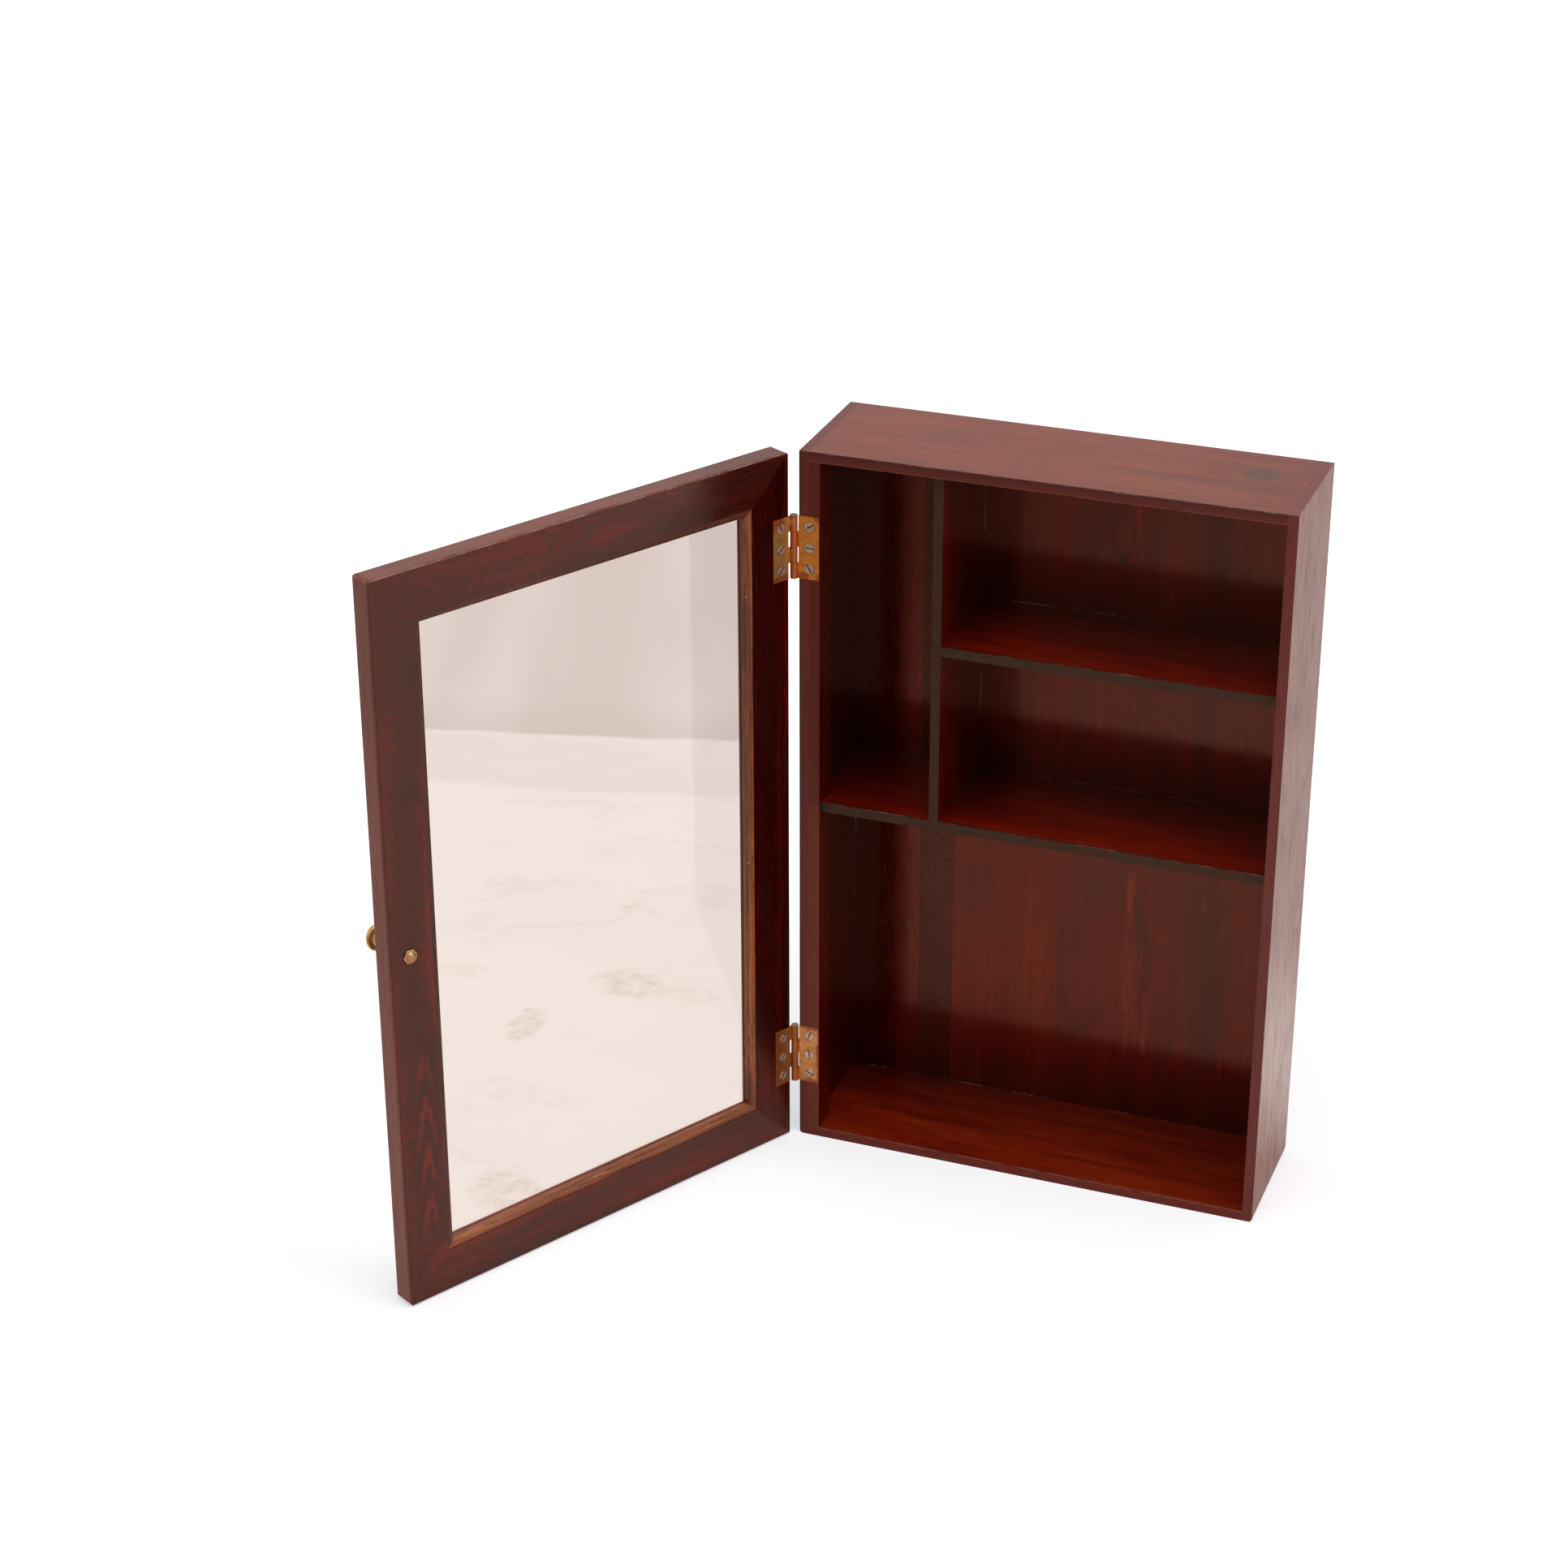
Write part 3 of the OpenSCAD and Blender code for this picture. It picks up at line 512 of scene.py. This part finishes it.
def plain_edge(top=None, corners=()):
    """Marks for a board whose front edge was left without lacquer.

    A shelf's upper face is at top, and carries painted shade from each of its back left corners, which are
    given by how far right they are and how far the shade reaches.
    """
    def marks(s, at, colour, rough):
        # Painted shade spreading from the back left corners.
        for left, reach in corners:
            dark_patch = s.both(s.span(at["x"], left + reach, left), s.span(at["x"], left - 0.001, left),
                            s.span(at["y"], -0.045, 0.0, 0.45, 1.0))
            colour = shaded(s, colour, dark_patch, 0.85)
        # Painted shade: darker towards the back.
        if corners:
            colour = shaded(s, colour, s.span(at["y"], 0.010, back_front), 0.6)
        front = s.span(at["y"], shelf_front + 0.0006, shelf_front + 0.0003)
        fuzz = s.cloud(s.place, 400.0, 3.0, 0.6)
        plain = s.blend(s.span(fuzz, 0.35, 0.7), (0.009, 0.009, 0.006), (0.018, 0.018, 0.013))
        colour = s.blend(front, colour, plain)
        rough = s.sum("MAXIMUM", rough, s.sum("MULTIPLY", front, 0.55))
        if top:
            inked = s.both(s.span(at["z"], top - 0.0004, top - 0.0002),
                           s.span(at["y"], shelf_front + 0.0014, shelf_front + 0.0008))
            colour = s.blend(s.both(inked, 0.8), colour, (0.012, 0.004, 0.003))
            # Pale line along the front arris: partly chips, partly painted highlight.
            wear_and_glint = arris(s, at["y"], at["z"], shelf_front, top, 0.0003, at["x"], 0.56, top * 9)
            colour = s.blend(s.both(wear_and_glint, 0.7), colour, (0.34, 0.25, 0.21))
        return colour, rough
    return marks


shelf_tones = ((0.215, 0.008, 0.001), (0.28, 0.018, 0.002), (0.085, 0.003, 0.001), (0.018, 0.002, 0.001))
for node, heart_height, top, corners, seed in (
        ("middle_shelf", 0.60, middle_shelf_top, ((-inner_side, 0.10), (divider_right, 0.075)), 5.0),
        ("short_shelf", 0.72, short_shelf_top, ((divider_right, 0.050),), 6.0)):
    paint = rosewood(node + "_timber", "yzx", shelf_tones, (-0.12, heart_height), (0.0, 0.03),
                     bands=(0.007, 0.6), mottle=0.5, rings=0.2, fibre=0.45, grain=(420, 16), pitch=0.003,
                     seed=seed, gloss=0.10, shine=0.9, tint=inner_shine, marks=plain_edge(top, corners))
    finish_with(node, paint, 0.0004)
slip_timber = rosewood("shelf_slip_timber", "yzx", shelf_tones, (0.0, 0.42), seed=7.0, marks=plain_edge())
finish_with("shelf_slip", slip_timber, 0.0002)


def divider_marks(s, at, colour, rough):
    # Painted shade: the divider darkens from its front towards the back.
    colour = shaded(s, colour, s.span(at["y"], -0.050, -0.005, 0.45, 1.0), 0.85)
    return plain_edge()(s, at, colour, rough)


def batten_marks(s, at, colour, rough):
    low = s.span(at["z"], middle_shelf_top + 0.002, middle_shelf_top - 0.003)
    tone = s.blend(low, (0.130, 0.008, 0.003), (0.200, 0.022, 0.006))
    # Painted shade on the batten's right face.
    colour = shaded(s, colour, s.span(at["x"], batten_right - 0.0003, batten_right + 0.0002), 0.75)
    return s.blend(s.both(front_edge(s, at), 0.75), colour, tone), rough


inner_tones = ((0.185, 0.004, 0.0005), (0.27, 0.011, 0.001), (0.070, 0.002, 0.0005), (0.020, 0.002, 0.001))
divider_timber = rosewood("divider_timber", "yxz", inner_tones, (0.2, 0.1), seed=8.0, gloss=0.10,
                          shine=0.9, tint=inner_shine, marks=divider_marks)
finish_with("divider", divider_timber, 0.0004)
batten_timber = rosewood("batten_timber", "xyz", inner_tones, (0.2, 0.1), seed=9.0, tint=show_shine,
                         marks=batten_marks)
finish_with("hinge_batten", batten_timber, 0.0004)

# ---- Back ----
# Five boards set edge to edge behind the shelves: plain ones, a narrow strip of
# curly figure and a wide one with dark flowing heartwood. Pale glue shows in the corners.


case_back = 0.0565
seams = (-0.1253, -0.0963, -0.0070, 0.1335)
glue = (0.26, 0.20, 0.15)


def back_marks(s, at, colour, rough):
    """Painted shade at the left of each compartment and low down, with glue, on the inner face; the outer
    face was never lacquered and is dry and dusty.
    """
    x, z = at["x"], at["z"]
    inside = s.span(at["y"], back_front + 0.0010, back_front + 0.0004)
    # Painted shade at the left of each compartment.
    for start, reach, foot, head in ((divider_right, 0.055, middle_shelf_top, 0.60),
                                     (-inner_side, 0.060, -0.1, middle_shelf_top - thickness),
                                     (-inner_side, 0.050, middle_shelf_top, 0.60)):
        left = s.both(s.span(x, start + reach, start), s.between(z, foot - 0.004, head, 0.004),
                      s.span(x, start - 0.0005, start), inside)
        colour = shaded(s, colour, left, 0.8)
    dots = s.cloud(s.join(x, z, 0.0), 420.0, 3.0, 0.75)
    squeeze = s.cloud(s.join(x, z, 0.0), 30.0, 2.0, 0.5)
    squeeze = s.sum("ADD", s.sum("MULTIPLY", squeeze, 0.5), s.sum("MULTIPLY", dots, 0.5))
    # Painted shade just above the floor and each shelf, and glue along the joint.
    for level, start, reach in ((thickness, -inner_side, 0.11), (middle_shelf_top, -inner_side, 0.07),
                                (short_shelf_top, divider_right, 0.06)):
        right_of = s.both(s.span(x, start - 0.0005, start), inside)
        low = s.both(s.span(z, level + reach, level), s.span(z, level - 0.010, level - 0.002), right_of)
        colour = shaded(s, colour, low, 0.75)
        bead = s.both(s.between(z, level - 0.001, level + 0.0009, 0.0003), s.span(squeeze, 0.51, 0.60),
                      right_of)
        colour = s.blend(s.both(bead, 0.7), colour, glue)
    for side, foot, head in ((divider_right + 0.0001, 0.505, 0.545), (divider_right + 0.0001, 0.352, 0.388),
                             (-inner_side, 0.225, 0.285)):
        bead = s.both(s.between(x, side - 0.001, side + 0.0007, 0.0003), s.between(z, foot, head, 0.003),
                      s.span(squeeze, 0.42, 0.52), inside)
        colour = s.blend(s.both(bead, 0.55), colour, glue)
    for seam in seams:
        line = s.between(x, seam - 0.0002, seam + 0.0002, 0.0002)
        colour = s.blend(s.both(line, 0.7), colour, (0.012, 0.002, 0.001))
    outside = s.span(at["y"], case_back - 0.0007, case_back - 0.0002)
    bare = s.node("VectorMath", {0: colour, 1: (0.80, 1.6, 1.6), 2: (0.035, 0.022, 0.014)},
                  operation="MULTIPLY_ADD")
    dust = s.cloud(s.place, 16.0, 4.0, 0.65, (1, 1, 0.5), 21.0)
    bare = s.blend(s.span(dust, 0.42, 0.70, 0.0, 0.5), bare, (0.16, 0.085, 0.060))
    colour = s.blend(outside, colour, bare)
    dry = s.sum("MULTIPLY", outside, s.span(dust, 0.3, 0.7, 0.42, 0.60))
    return colour, s.sum("MAXIMUM", rough, dry)


def curly_marks(s, at, colour, rough):
    """Short dark ticks, one above another, that rise to a point in the middle of the strip."""
    x, z = at["x"], at["z"]
    middle, tick_spacing = -0.1115, 0.0105
    jag = s.cloud(s.join(x, z, 0.0), 230.0, 3.0, 0.75)
    drift = s.cloud(s.join(x, z, 0.0), 40.0, 2.0, 0.5, shift=5.0)
    slope = s.sum("MULTIPLY", s.sum("ABSOLUTE", s.sum("ADD", x, -middle)), 1.2)
    rise = s.sum("SUBTRACT", s.sum("ADD", z, s.sum("MULTIPLY", jag, 0.022)), slope)
    rise = s.sum("ADD", rise, s.sum("MULTIPLY", drift, 0.02))
    tick = s.sum("FRACT", s.sum("DIVIDE", rise, tick_spacing))
    tick = s.both(s.between(tick, 0.25, 0.60, 0.18), s.span(jag, 0.38, 0.62))
    colour = s.blend(0.6, colour, (0.080, 0.013, 0.005))
    depth = s.span(z, 0.12, 0.26, 0.55, 0.9)
    colour = s.blend(s.both(tick, depth), colour, (0.014, 0.002, 0.001))
    return back_marks(s, at, colour, rough)


ember, smoky, black = (0.42, 0.030, 0.004), (0.050, 0.010, 0.006), (0.014, 0.002, 0.001)
figured_swells = ((0.0317, 0.206, 0.020, 0.026, 0.012), (0.060, 0.170, 0.014, 0.040, -0.010),
                  (0.110, 0.190, 0.018, 0.050, 0.008), (0.0342, 0.500, 0.012, 0.03, 0.008))
figured_stains = (
    (0.0577, 0.178, 0.0065, 0.020, black, 0.75), (0.0600, 0.205, 0.004, 0.020, black, 0.5),
    (0.0660, 0.140, 0.003, 0.045, black, 0.6), (0.0317, 0.2046, 0.0030, 0.0022, black, 0.8),
    (0.0520, 0.205, 0.0025, 0.030, ember, 0.8), (0.0530, 0.140, 0.005, 0.045, ember, 0.6),
    (0.0680, 0.090, 0.0018, 0.022, ember, 0.95), (0.0530, 0.095, 0.0018, 0.026, ember, 0.9),
    (0.0811, 0.178, 0.004, 0.005, ember, 0.5), (0.112, 0.200, 0.016, 0.035, smoky, 0.75),
    (0.118, 0.120, 0.013, 0.050, smoky, 0.7), (0.1117, 0.213, 0.002, 0.008, ember, 0.6),
    (0.1200, 0.2313, 0.0018, 0.0025, black, 0.9), (0.1272, 0.0976, 0.0020, 0.0020, black, 0.8),
    (0.1043, 0.0997, 0.0018, 0.0018, black, 0.8), (0.090, 0.110, 0.004, 0.050, smoky, 0.5),
    (0.0342, 0.497, 0.003, 0.007, black, 0.9), (0.0453, 0.533, 0.0015, 0.018, ember, 0.8),
    (0.1287, 0.522, 0.0015, 0.007, black, 0.9), (0.104, 0.520, 0.014, 0.06, smoky, 0.8),
    (0.060, 0.500, 0.012, 0.03, smoky, 0.5), (0.1032, 0.365, 0.012, 0.05, smoky, 0.75),
    (0.1318, 0.357, 0.0010, 0.016, black, 0.8), (0.070, 0.48, 0.010, 0.03, ember, 0.4))
straight_stains = ((-0.075, 0.190, 0.022, 0.030, smoky, 0.7), (-0.045, 0.360, 0.010, 0.05, smoky, 0.5),
                   (-0.060, 0.480, 0.008, 0.03, smoky, 0.6), (-0.030, 0.10, 0.02, 0.09, ember, 0.25))
back_boards = (
    # The left board's long dark band is painted shade of the left compartment.
    ("back_board_left", dict(heart=(-0.5, 0.10), tint=inner_shine, fibre=0.25,
                             stains=((-0.165, 0.300, 0.022, 0.5, black, 0.55),))),
    ("back_board_strip", dict(heart=(-0.5, 0.10), tint=(0.60, 0.36, 0.27), marks=curly_marks)),
    ("back_board_straight", dict(heart=(-0.42, 0.12), tint=inner_shine, stains=straight_stains)),
    ("back_board_figured", dict(heart=(0.052, 0.085), lean=(0.0, 0.10), tint=(0.90, 0.46, 0.33),
                                swells=figured_swells, stains=figured_stains)),
    ("back_board_right", dict(heart=(0.6, 0.10), tint=(0.95, 0.45, 0.31),
                              stains=((0.160, 0.20, 0.012, 0.12, smoky, 0.4),))))
for turn, (node, own) in enumerate(back_boards):
    common = dict(bands=(0.012, 0.6), mottle=0.6, rings=0.22, fibre=0.5, pores=0.6, grain=(500, 26),
                  pitch=0.003, gloss=0.12, shine=0.9, marks=back_marks)
    finish_with(node, rosewood(node + "_timber", "xyz", inner_tones, seed=10.0 + turn, **{**common, **own}))

# ---- Door frame ----
# Four mitred rosewood members round the glass. The outer faces and edges have faded
# as the case has; the inner faces are nearly black, with red and orange between.


door_inner = -0.0577
dusk, flame = (0.045, 0.012, 0.007), (0.27, 0.026, 0.008)


def door_marks(s, at, colour, rough):
    """Faded wherever light reached the shut door, with the grain still showing."""
    top_edge = s.span(at["z"], case_top - 0.0015, case_top - 0.0007)
    show = s.sum("MAXIMUM", s.span(at["x"], case_side - 0.0010, case_side - 0.0002), top_edge)
    show = s.sum("MAXIMUM", show, s.span(at["y"], door_inner - 0.0010, door_inner - 0.0023))
    grain = s.span(s.node("SeparateColor", {0: colour}), s.tones[3][0], s.tones[1][0])
    faded_wood = s.blend(grain, (0.160, 0.042, 0.028), (0.48, 0.134, 0.084))
    colour = s.blend(s.both(show, 0.9), colour, faded_wood)
    # Painted shade: the door's top face is darker.
    colour = shaded(s, colour, top_edge, 0.42)
    # Pale line along the front arris: partly wear, partly painted highlight.
    wear_and_glint = arris(s, at["y"], at["z"], door_inner - 0.0006, case_top - 0.0011, 0.00045, at["x"], 0.49, 5.0)
    colour = s.blend(s.both(wear_and_glint, 0.6), colour, (0.36, 0.24, 0.22))
    nail = s.spot(s.join(at["x"], at["z"], 0.0), (0.1868, 0.0316), (0.0011, 0.0008), 0.3)
    colour = s.blend(nail, colour, (0.004, 0.002, 0.002))
    return colour, rough


def flame_marks(s, at, colour, rough):
    """The flames that run up the lower part of the knob stile, one inside another."""
    x, z = at["x"], at["z"]
    middle, flame_spacing = 0.1590, 0.041
    flutter = s.cloud(s.join(x, z, 0.0), 38.0, 3.0, 0.6)
    flick = s.cloud(s.join(x, s.sum("MULTIPLY", z, 0.4), 0.0), 190.0, 3.0, 0.6)
    aside = s.sum("SUBTRACT", x, s.sum("ADD", middle, s.sum("MULTIPLY", flutter, 0.014)))
    aside = s.sum("ABSOLUTE", aside)
    arch = s.sum("POWER", s.sum("MULTIPLY", aside, 100.0), 1.5)
    height = s.sum("ADD", z, s.sum("ADD", s.sum("MULTIPLY", arch, 0.040), s.sum("MULTIPLY", flutter, 0.050)))
    height = s.sum("ADD", height, s.sum("MULTIPLY", flick, 0.012))
    fold = s.sum("FRACT", s.sum("DIVIDE", height, flame_spacing))
    zone = s.both(s.span(z, 0.225, 0.190), s.span(z, 0.045, 0.080), s.span(aside, 0.016, 0.008))
    brown = s.both(s.between(fold, 0.20, 0.50, 0.22), zone)
    tongue = s.both(s.between(fold, 0.65, 1.0, 0.22), zone, s.span(aside, 0.010, 0.003))
    colour = s.blend(s.both(brown, 0.75), colour, dusk)
    colour = s.blend(s.both(tongue, 0.60), colour, flame)
    return door_marks(s, at, colour, rough)


door_tones = ((0.160, 0.011, 0.003), (0.21, 0.018, 0.006), (0.075, 0.010, 0.005), (0.020, 0.004, 0.002))
near_black = ((0.045, 0.0015, 0.0005), (0.10, 0.002, 0.0005), (0.016, 0.001, 0.0005), (0.006, 0.001, 0.0005))
hinge_stile_stains = ((-0.1845, 0.45, 0.0016, 0.14, (0.16, 0.002, 0.001), 0.9),
                      (-0.1780, 0.24, 0.0030, 0.20, (0.10, 0.003, 0.001), 0.7),
                      (-0.1650, 0.04, 0.02, 0.05, (0.12, 0.012, 0.005), 0.9))
knob_stile_swells = ((0.1618, 0.423, 0.009, 0.011, 0.010), (0.158, 0.395, 0.012, 0.035, -0.008))
knob_stile_stains = (
    (0.1618, 0.423, 0.0030, 0.0022, black, 0.85), (0.162, 0.424, 0.008, 0.008, dusk, 0.7),
    (0.155, 0.500, 0.007, 0.060, dusk, 0.75), (0.153, 0.300, 0.005, 0.050, flame, 0.6),
    (0.158, 0.207, 0.010, 0.014, dusk, 0.8), (0.157, 0.060, 0.010, 0.015, dusk, 0.5),
    (0.170, 0.380, 0.010, 0.110, dusk, 0.55), (0.168, 0.520, 0.006, 0.070, dusk, 0.4),
    (0.171, 0.250, 0.007, 0.050, dusk, 0.5), (0.152, 0.360, 0.004, 0.050, flame, 0.5),
    (0.151, 0.250, 0.004, 0.040, flame, 0.6), (0.158, 0.030, 0.010, 0.012, flame, 0.6),
    (0.186, 0.300, 0.004, 0.30, (0.19, 0.014, 0.006), 0.5))
top_rail_swells = ((0.560, 0.02, 0.012, 0.06, 0.008), (0.565, -0.06, 0.010, 0.05, -0.007))
top_rail_stains = ((0.566, 0.060, 0.004, 0.025, flame, 0.4), (0.559, 0.000, 0.004, 0.045, dusk, 0.7),
                   (0.556, 0.120, 0.004, 0.040, dusk, 0.5), (0.584, 0.090, 0.004, 0.060, flame, 0.25),
                   (0.566, -0.07, 0.008, 0.045, dusk, 0.75),
                   (0.575, -0.150, 0.024, 0.060, (0.035, 0.002, 0.001), 0.95))
bottom_rail_stains = ((0.033, 0.130, 0.006, 0.050, flame, 0.6), (0.020, 0.145, 0.005, 0.030, flame, 0.4),
                      (0.006, 0.060, 0.006, 0.100, dusk, 0.7), (0.025, 0.030, 0.005, 0.060, dusk, 0.5),
                      (0.012, -0.050, 0.005, 0.060, flame, 0.35), (0.030, -0.110, 0.010, 0.060, dusk, 0.6))
door_members = (
    ("hinge_stile", "xyz", dict(heart=(-0.30, 0.05), tones=near_black, tint=inner_shine,
                                stains=hinge_stile_stains)),
    ("knob_stile", "xyz", dict(heart=(0.168, 0.060), lean=(0.0, 0.30), swells=knob_stile_swells,
                               stains=knob_stile_stains, marks=flame_marks)),
    ("top_rail", "zyx", dict(heart=(0.560, 0.060), lean=(0.0, -0.22), swells=top_rail_swells,
                             stains=top_rail_stains)),
    ("bottom_rail", "zyx", dict(heart=(0.10, 0.10), lean=(0.0, 0.05), stains=bottom_rail_stains)))
for turn, (node, lay, own) in enumerate(door_members):
    common = dict(tones=door_tones, bands=(0.010, 0.7), pitch=0.0030, mottle=0.5, rings=0.68, fibre=0.60,
                  grain=(480, 18), pores=0.5, dashes=(1500, 60, 0.63), gloss=0.13, tint=(1.0, 0.94, 0.88),
                  on_door=True, marks=door_marks)
    paint = rosewood(node + "_timber", lay, seed=20.0 + turn, **{**common, **own})
    finish_with(node, paint, 0.0008)

# ---- Glazing beads ----
# Thin slips of a browner wood, pinned round the glass from inside with small brads.
# They were left nearly raw and two of them are tan; the top and knob-side beads get a darker copy of the
# tone, as painted shade.

tan_tones = ((0.50, 0.130, 0.036), (0.66, 0.220, 0.070), (0.110, 0.026, 0.010), (0.020, 0.007, 0.004))
shaded_bead_tones = ((0.14, 0.026, 0.010), (0.21, 0.048, 0.020), (0.045, 0.009, 0.004), (0.012, 0.004, 0.003))
beads = (("bead_hinge_side", "xyz", tan_tones), ("bead_knob_side", "xyz", shaded_bead_tones),
         ("bead_top", "zyx", shaded_bead_tones), ("bead_bottom", "zyx", tan_tones))
for turn, (node, lay, tones) in enumerate(beads):
    paint = rosewood(node + "_timber", lay, tones, (0.3, 0.1), (0.02, 0.0), bands=(0.003, 0.8),
                     pitch=0.0016, rings=0.6, gloss=0.30, seed=26.0 + turn, on_door=True)
    finish_with(node, paint, 0.0002)

# ---- Glass ----
# One clear pane, three millimetres thick, bedded in the frame's rebate. The lamps
# shine through it almost undimmed, as they do through real window glass.

glass = Finish("window_glass")
glass.skin.inputs["Base Color"].default_value = (0.97, 0.98, 0.975, 1)
glass.skin.inputs["Roughness"].default_value = 0.0
glass.skin.inputs["IOR"].default_value = 1.5
glass.skin.inputs["Transmission Weight"].default_value = 1.0
lamp_ray = glass.nodes.new("ShaderNodeLightPath").outputs["Is Shadow Ray"]
open_air = glass.node("BsdfTransparent", {"Color": (0.93, 0.95, 0.94)})
glass.feed(glass.end.inputs["Surface"],
           glass.node("MixShader", {0: lamp_ray, 1: glass.skin.outputs[0], 2: open_air}))
finish_with("glass_pane", glass.paint)

# ---- Hinges, screws, knob and brads ----
# Pressed brass butts with copper-red staining where the stain ran over them, steel
# countersunk screws, and a turned brass knob held by a nut inside.


screw_column, screw_shadow_radius = -0.181, 0.0044


def brass(name, tone, stain_tone, stains=(), screws=(), polish=0.34, seed=0.0, on_door=False):
    """Old brass: dull and bright patches, fine scratches, red stain, and a painted shadow round each screw
    head.
    """
    s = Finish(name)
    place = place_when_shut(s, on_door)
    x, _, z = s.axes(place)
    flat = s.join(x, z, 0.0)
    patch = s.cloud(place, 140.0, 4.0, 0.6, shift=seed)
    speck = s.cloud(place, 900.0, 2.0, 0.6, shift=seed)
    scratch = s.cloud(place, 1.0, 3.0, 0.6, (300, 300, 3500), seed)
    colour = s.blend(s.span(patch, 0.35, 0.65), tone, [c * 0.72 for c in tone])
    colour = s.blend(s.span(speck, 0.62, 0.72, 0.0, 0.6), colour, stain_tone)
    ragged = s.stir(flat, place, 220.0, (0.006, 0.006))
    red = 0.0
    for aside, up, width, length in stains:
        red = s.sum("MAXIMUM", red, s.spot(ragged, (aside, up), (width, length), 0.35))
    colour = s.blend(s.sum("MULTIPLY", red, 0.85), colour, stain_tone)
    # Painted shadow round each screw head.
    for level in screws:
        screw_shadow = s.spot(flat, (screw_column, level), (screw_shadow_radius, screw_shadow_radius), 0.10)
        screw_shadow = s.both(screw_shadow, s.span(speck, 0.25, 0.6, 1.0, 0.5), 0.85)
        colour = s.blend(screw_shadow, colour, (0.10, 0.045, 0.020))
    s.feed(s.skin.inputs["Base Color"], colour)
    s.skin.inputs["Metallic"].default_value = 1.0
    rough = s.sum("ADD", s.span(patch, 0.3, 0.7, polish - 0.05, polish + 0.10), s.sum("MULTIPLY", red, 0.08))
    s.feed(s.skin.inputs["Roughness"], rough)
    s.feed(s.skin.inputs["Normal"],
           s.node("Bump", {"Strength": 0.25, "Distance": 0.00006, "Height": s.sum("ADD", scratch, speck)}))
    return s.paint


copper, brown, dull_brass = (0.44, 0.105, 0.030), (0.34, 0.11, 0.035), (0.50, 0.26, 0.09)
upper_rows, lower_rows = (0.4995, 0.5166, 0.5337), (0.0583, 0.0754, 0.0925)
upper_knuckles, lower_knuckles = (-0.193, 0.517, 0.0036, 0.04), (-0.193, 0.076, 0.0036, 0.04)
upper_case_stains = ((-0.174, 0.541, 0.004, 0.003), (-0.186, 0.493, 0.005, 0.004),
                     (-0.173, 0.492, 0.002, 0.004), upper_knuckles)
lower_case_stains = ((-0.178, 0.100, 0.012, 0.002), (-0.173, 0.075, 0.002, 0.025),
                     (-0.178, 0.051, 0.010, 0.002), lower_knuckles)
upper_door_stains = ((-0.176, 0.541, 0.009, 0.010), (-0.178, 0.492, 0.014, 0.004), upper_knuckles)
lower_door_stains = ((-0.176, 0.076, 0.006, 0.03), lower_knuckles)
# The four leaves are given different brass tones, as painted reflection: each copies how that leaf shows its
# surroundings.
for node, tone, stain_tone, stains, rows, seed, on_door in (
        ("upper_hinge_case_leaf", (0.92, 0.35, 0.065), copper, upper_case_stains, upper_rows, 1.0, False),
        ("lower_hinge_case_leaf", (0.82, 0.39, 0.14), copper, lower_case_stains, lower_rows, 2.0, False),
        ("upper_hinge_door_leaf", (0.82, 0.46, 0.14), copper, upper_door_stains, upper_rows, 3.0, True),
        ("lower_hinge_door_leaf", (0.56, 0.27, 0.08), brown, lower_door_stains, lower_rows, 4.0, True)):
    paint = brass(node.replace("hinge_", "") + "_brass", tone, stain_tone, stains, rows, seed=seed,
                  on_door=on_door)
    finish_with(node, paint)
finish_with("knob", brass("knob_brass", (0.92, 0.56, 0.24), dull_brass, polish=0.36, seed=5.0, on_door=True))
finish_with("knob_nut", brass("nut_brass", (0.66, 0.36, 0.18), (0.30, 0.14, 0.07), polish=0.38, seed=6.0,
                              on_door=True))


def steel(name, tone, rust, seed=0.0, on_door=False):
    """Old screw steel: grey-pink, dulled and pitted, with dirt and painted shade down in the slots."""
    s = Finish(name)
    depth = s.node("SeparateXYZ", {0: place_when_shut(s, on_door)}, 1)
    patch = s.cloud(s.place, 260.0, 2.0, 0.5, shift=seed)
    pit = s.cloud(s.place, 2200.0, 2.0, 0.6, shift=seed)
    colour = s.blend(s.span(patch, 0.35, 0.68), tone, rust)
    head, inward = (door_inner, -1) if on_door else (case_front, 1)
    # Dirt and painted shade: darker below the head's face, in the slot.
    dirt_and_shade = s.span(depth, head + 0.0002 * inward, head + 0.0005 * inward)
    colour = s.blend(s.both(dirt_and_shade, 0.92), colour, (0.022, 0.012, 0.009))
    s.feed(s.skin.inputs["Base Color"], colour)
    s.skin.inputs["Metallic"].default_value = 1.0
    s.feed(s.skin.inputs["Roughness"], s.span(patch, 0.3, 0.7, 0.32, 0.5))
    s.feed(s.skin.inputs["Normal"], s.node("Bump", {"Strength": 0.2, "Distance": 0.00004, "Height": pit}))
    return s.paint


screw_sets = ("upper_case_screws", "lower_case_screws", "upper_door_screws", "lower_door_screws")
for turn, node in enumerate(screw_sets):
    paint = steel(node + "_steel", (0.80, 0.60, 0.51), (0.56, 0.38, 0.31), 1.0 + turn, "door" in node)
    finish_with(node, paint)
for turn, node in enumerate(("upper_hinge_pin", "lower_hinge_pin")):
    finish_with(node, brass(node + "_brass", (0.40, 0.24, 0.18), (0.20, 0.10, 0.07), seed=7.0 + turn))
finish_with("bead_brads", steel("brad_steel", (0.62, 0.55, 0.48), (0.35, 0.26, 0.20), 9.0))
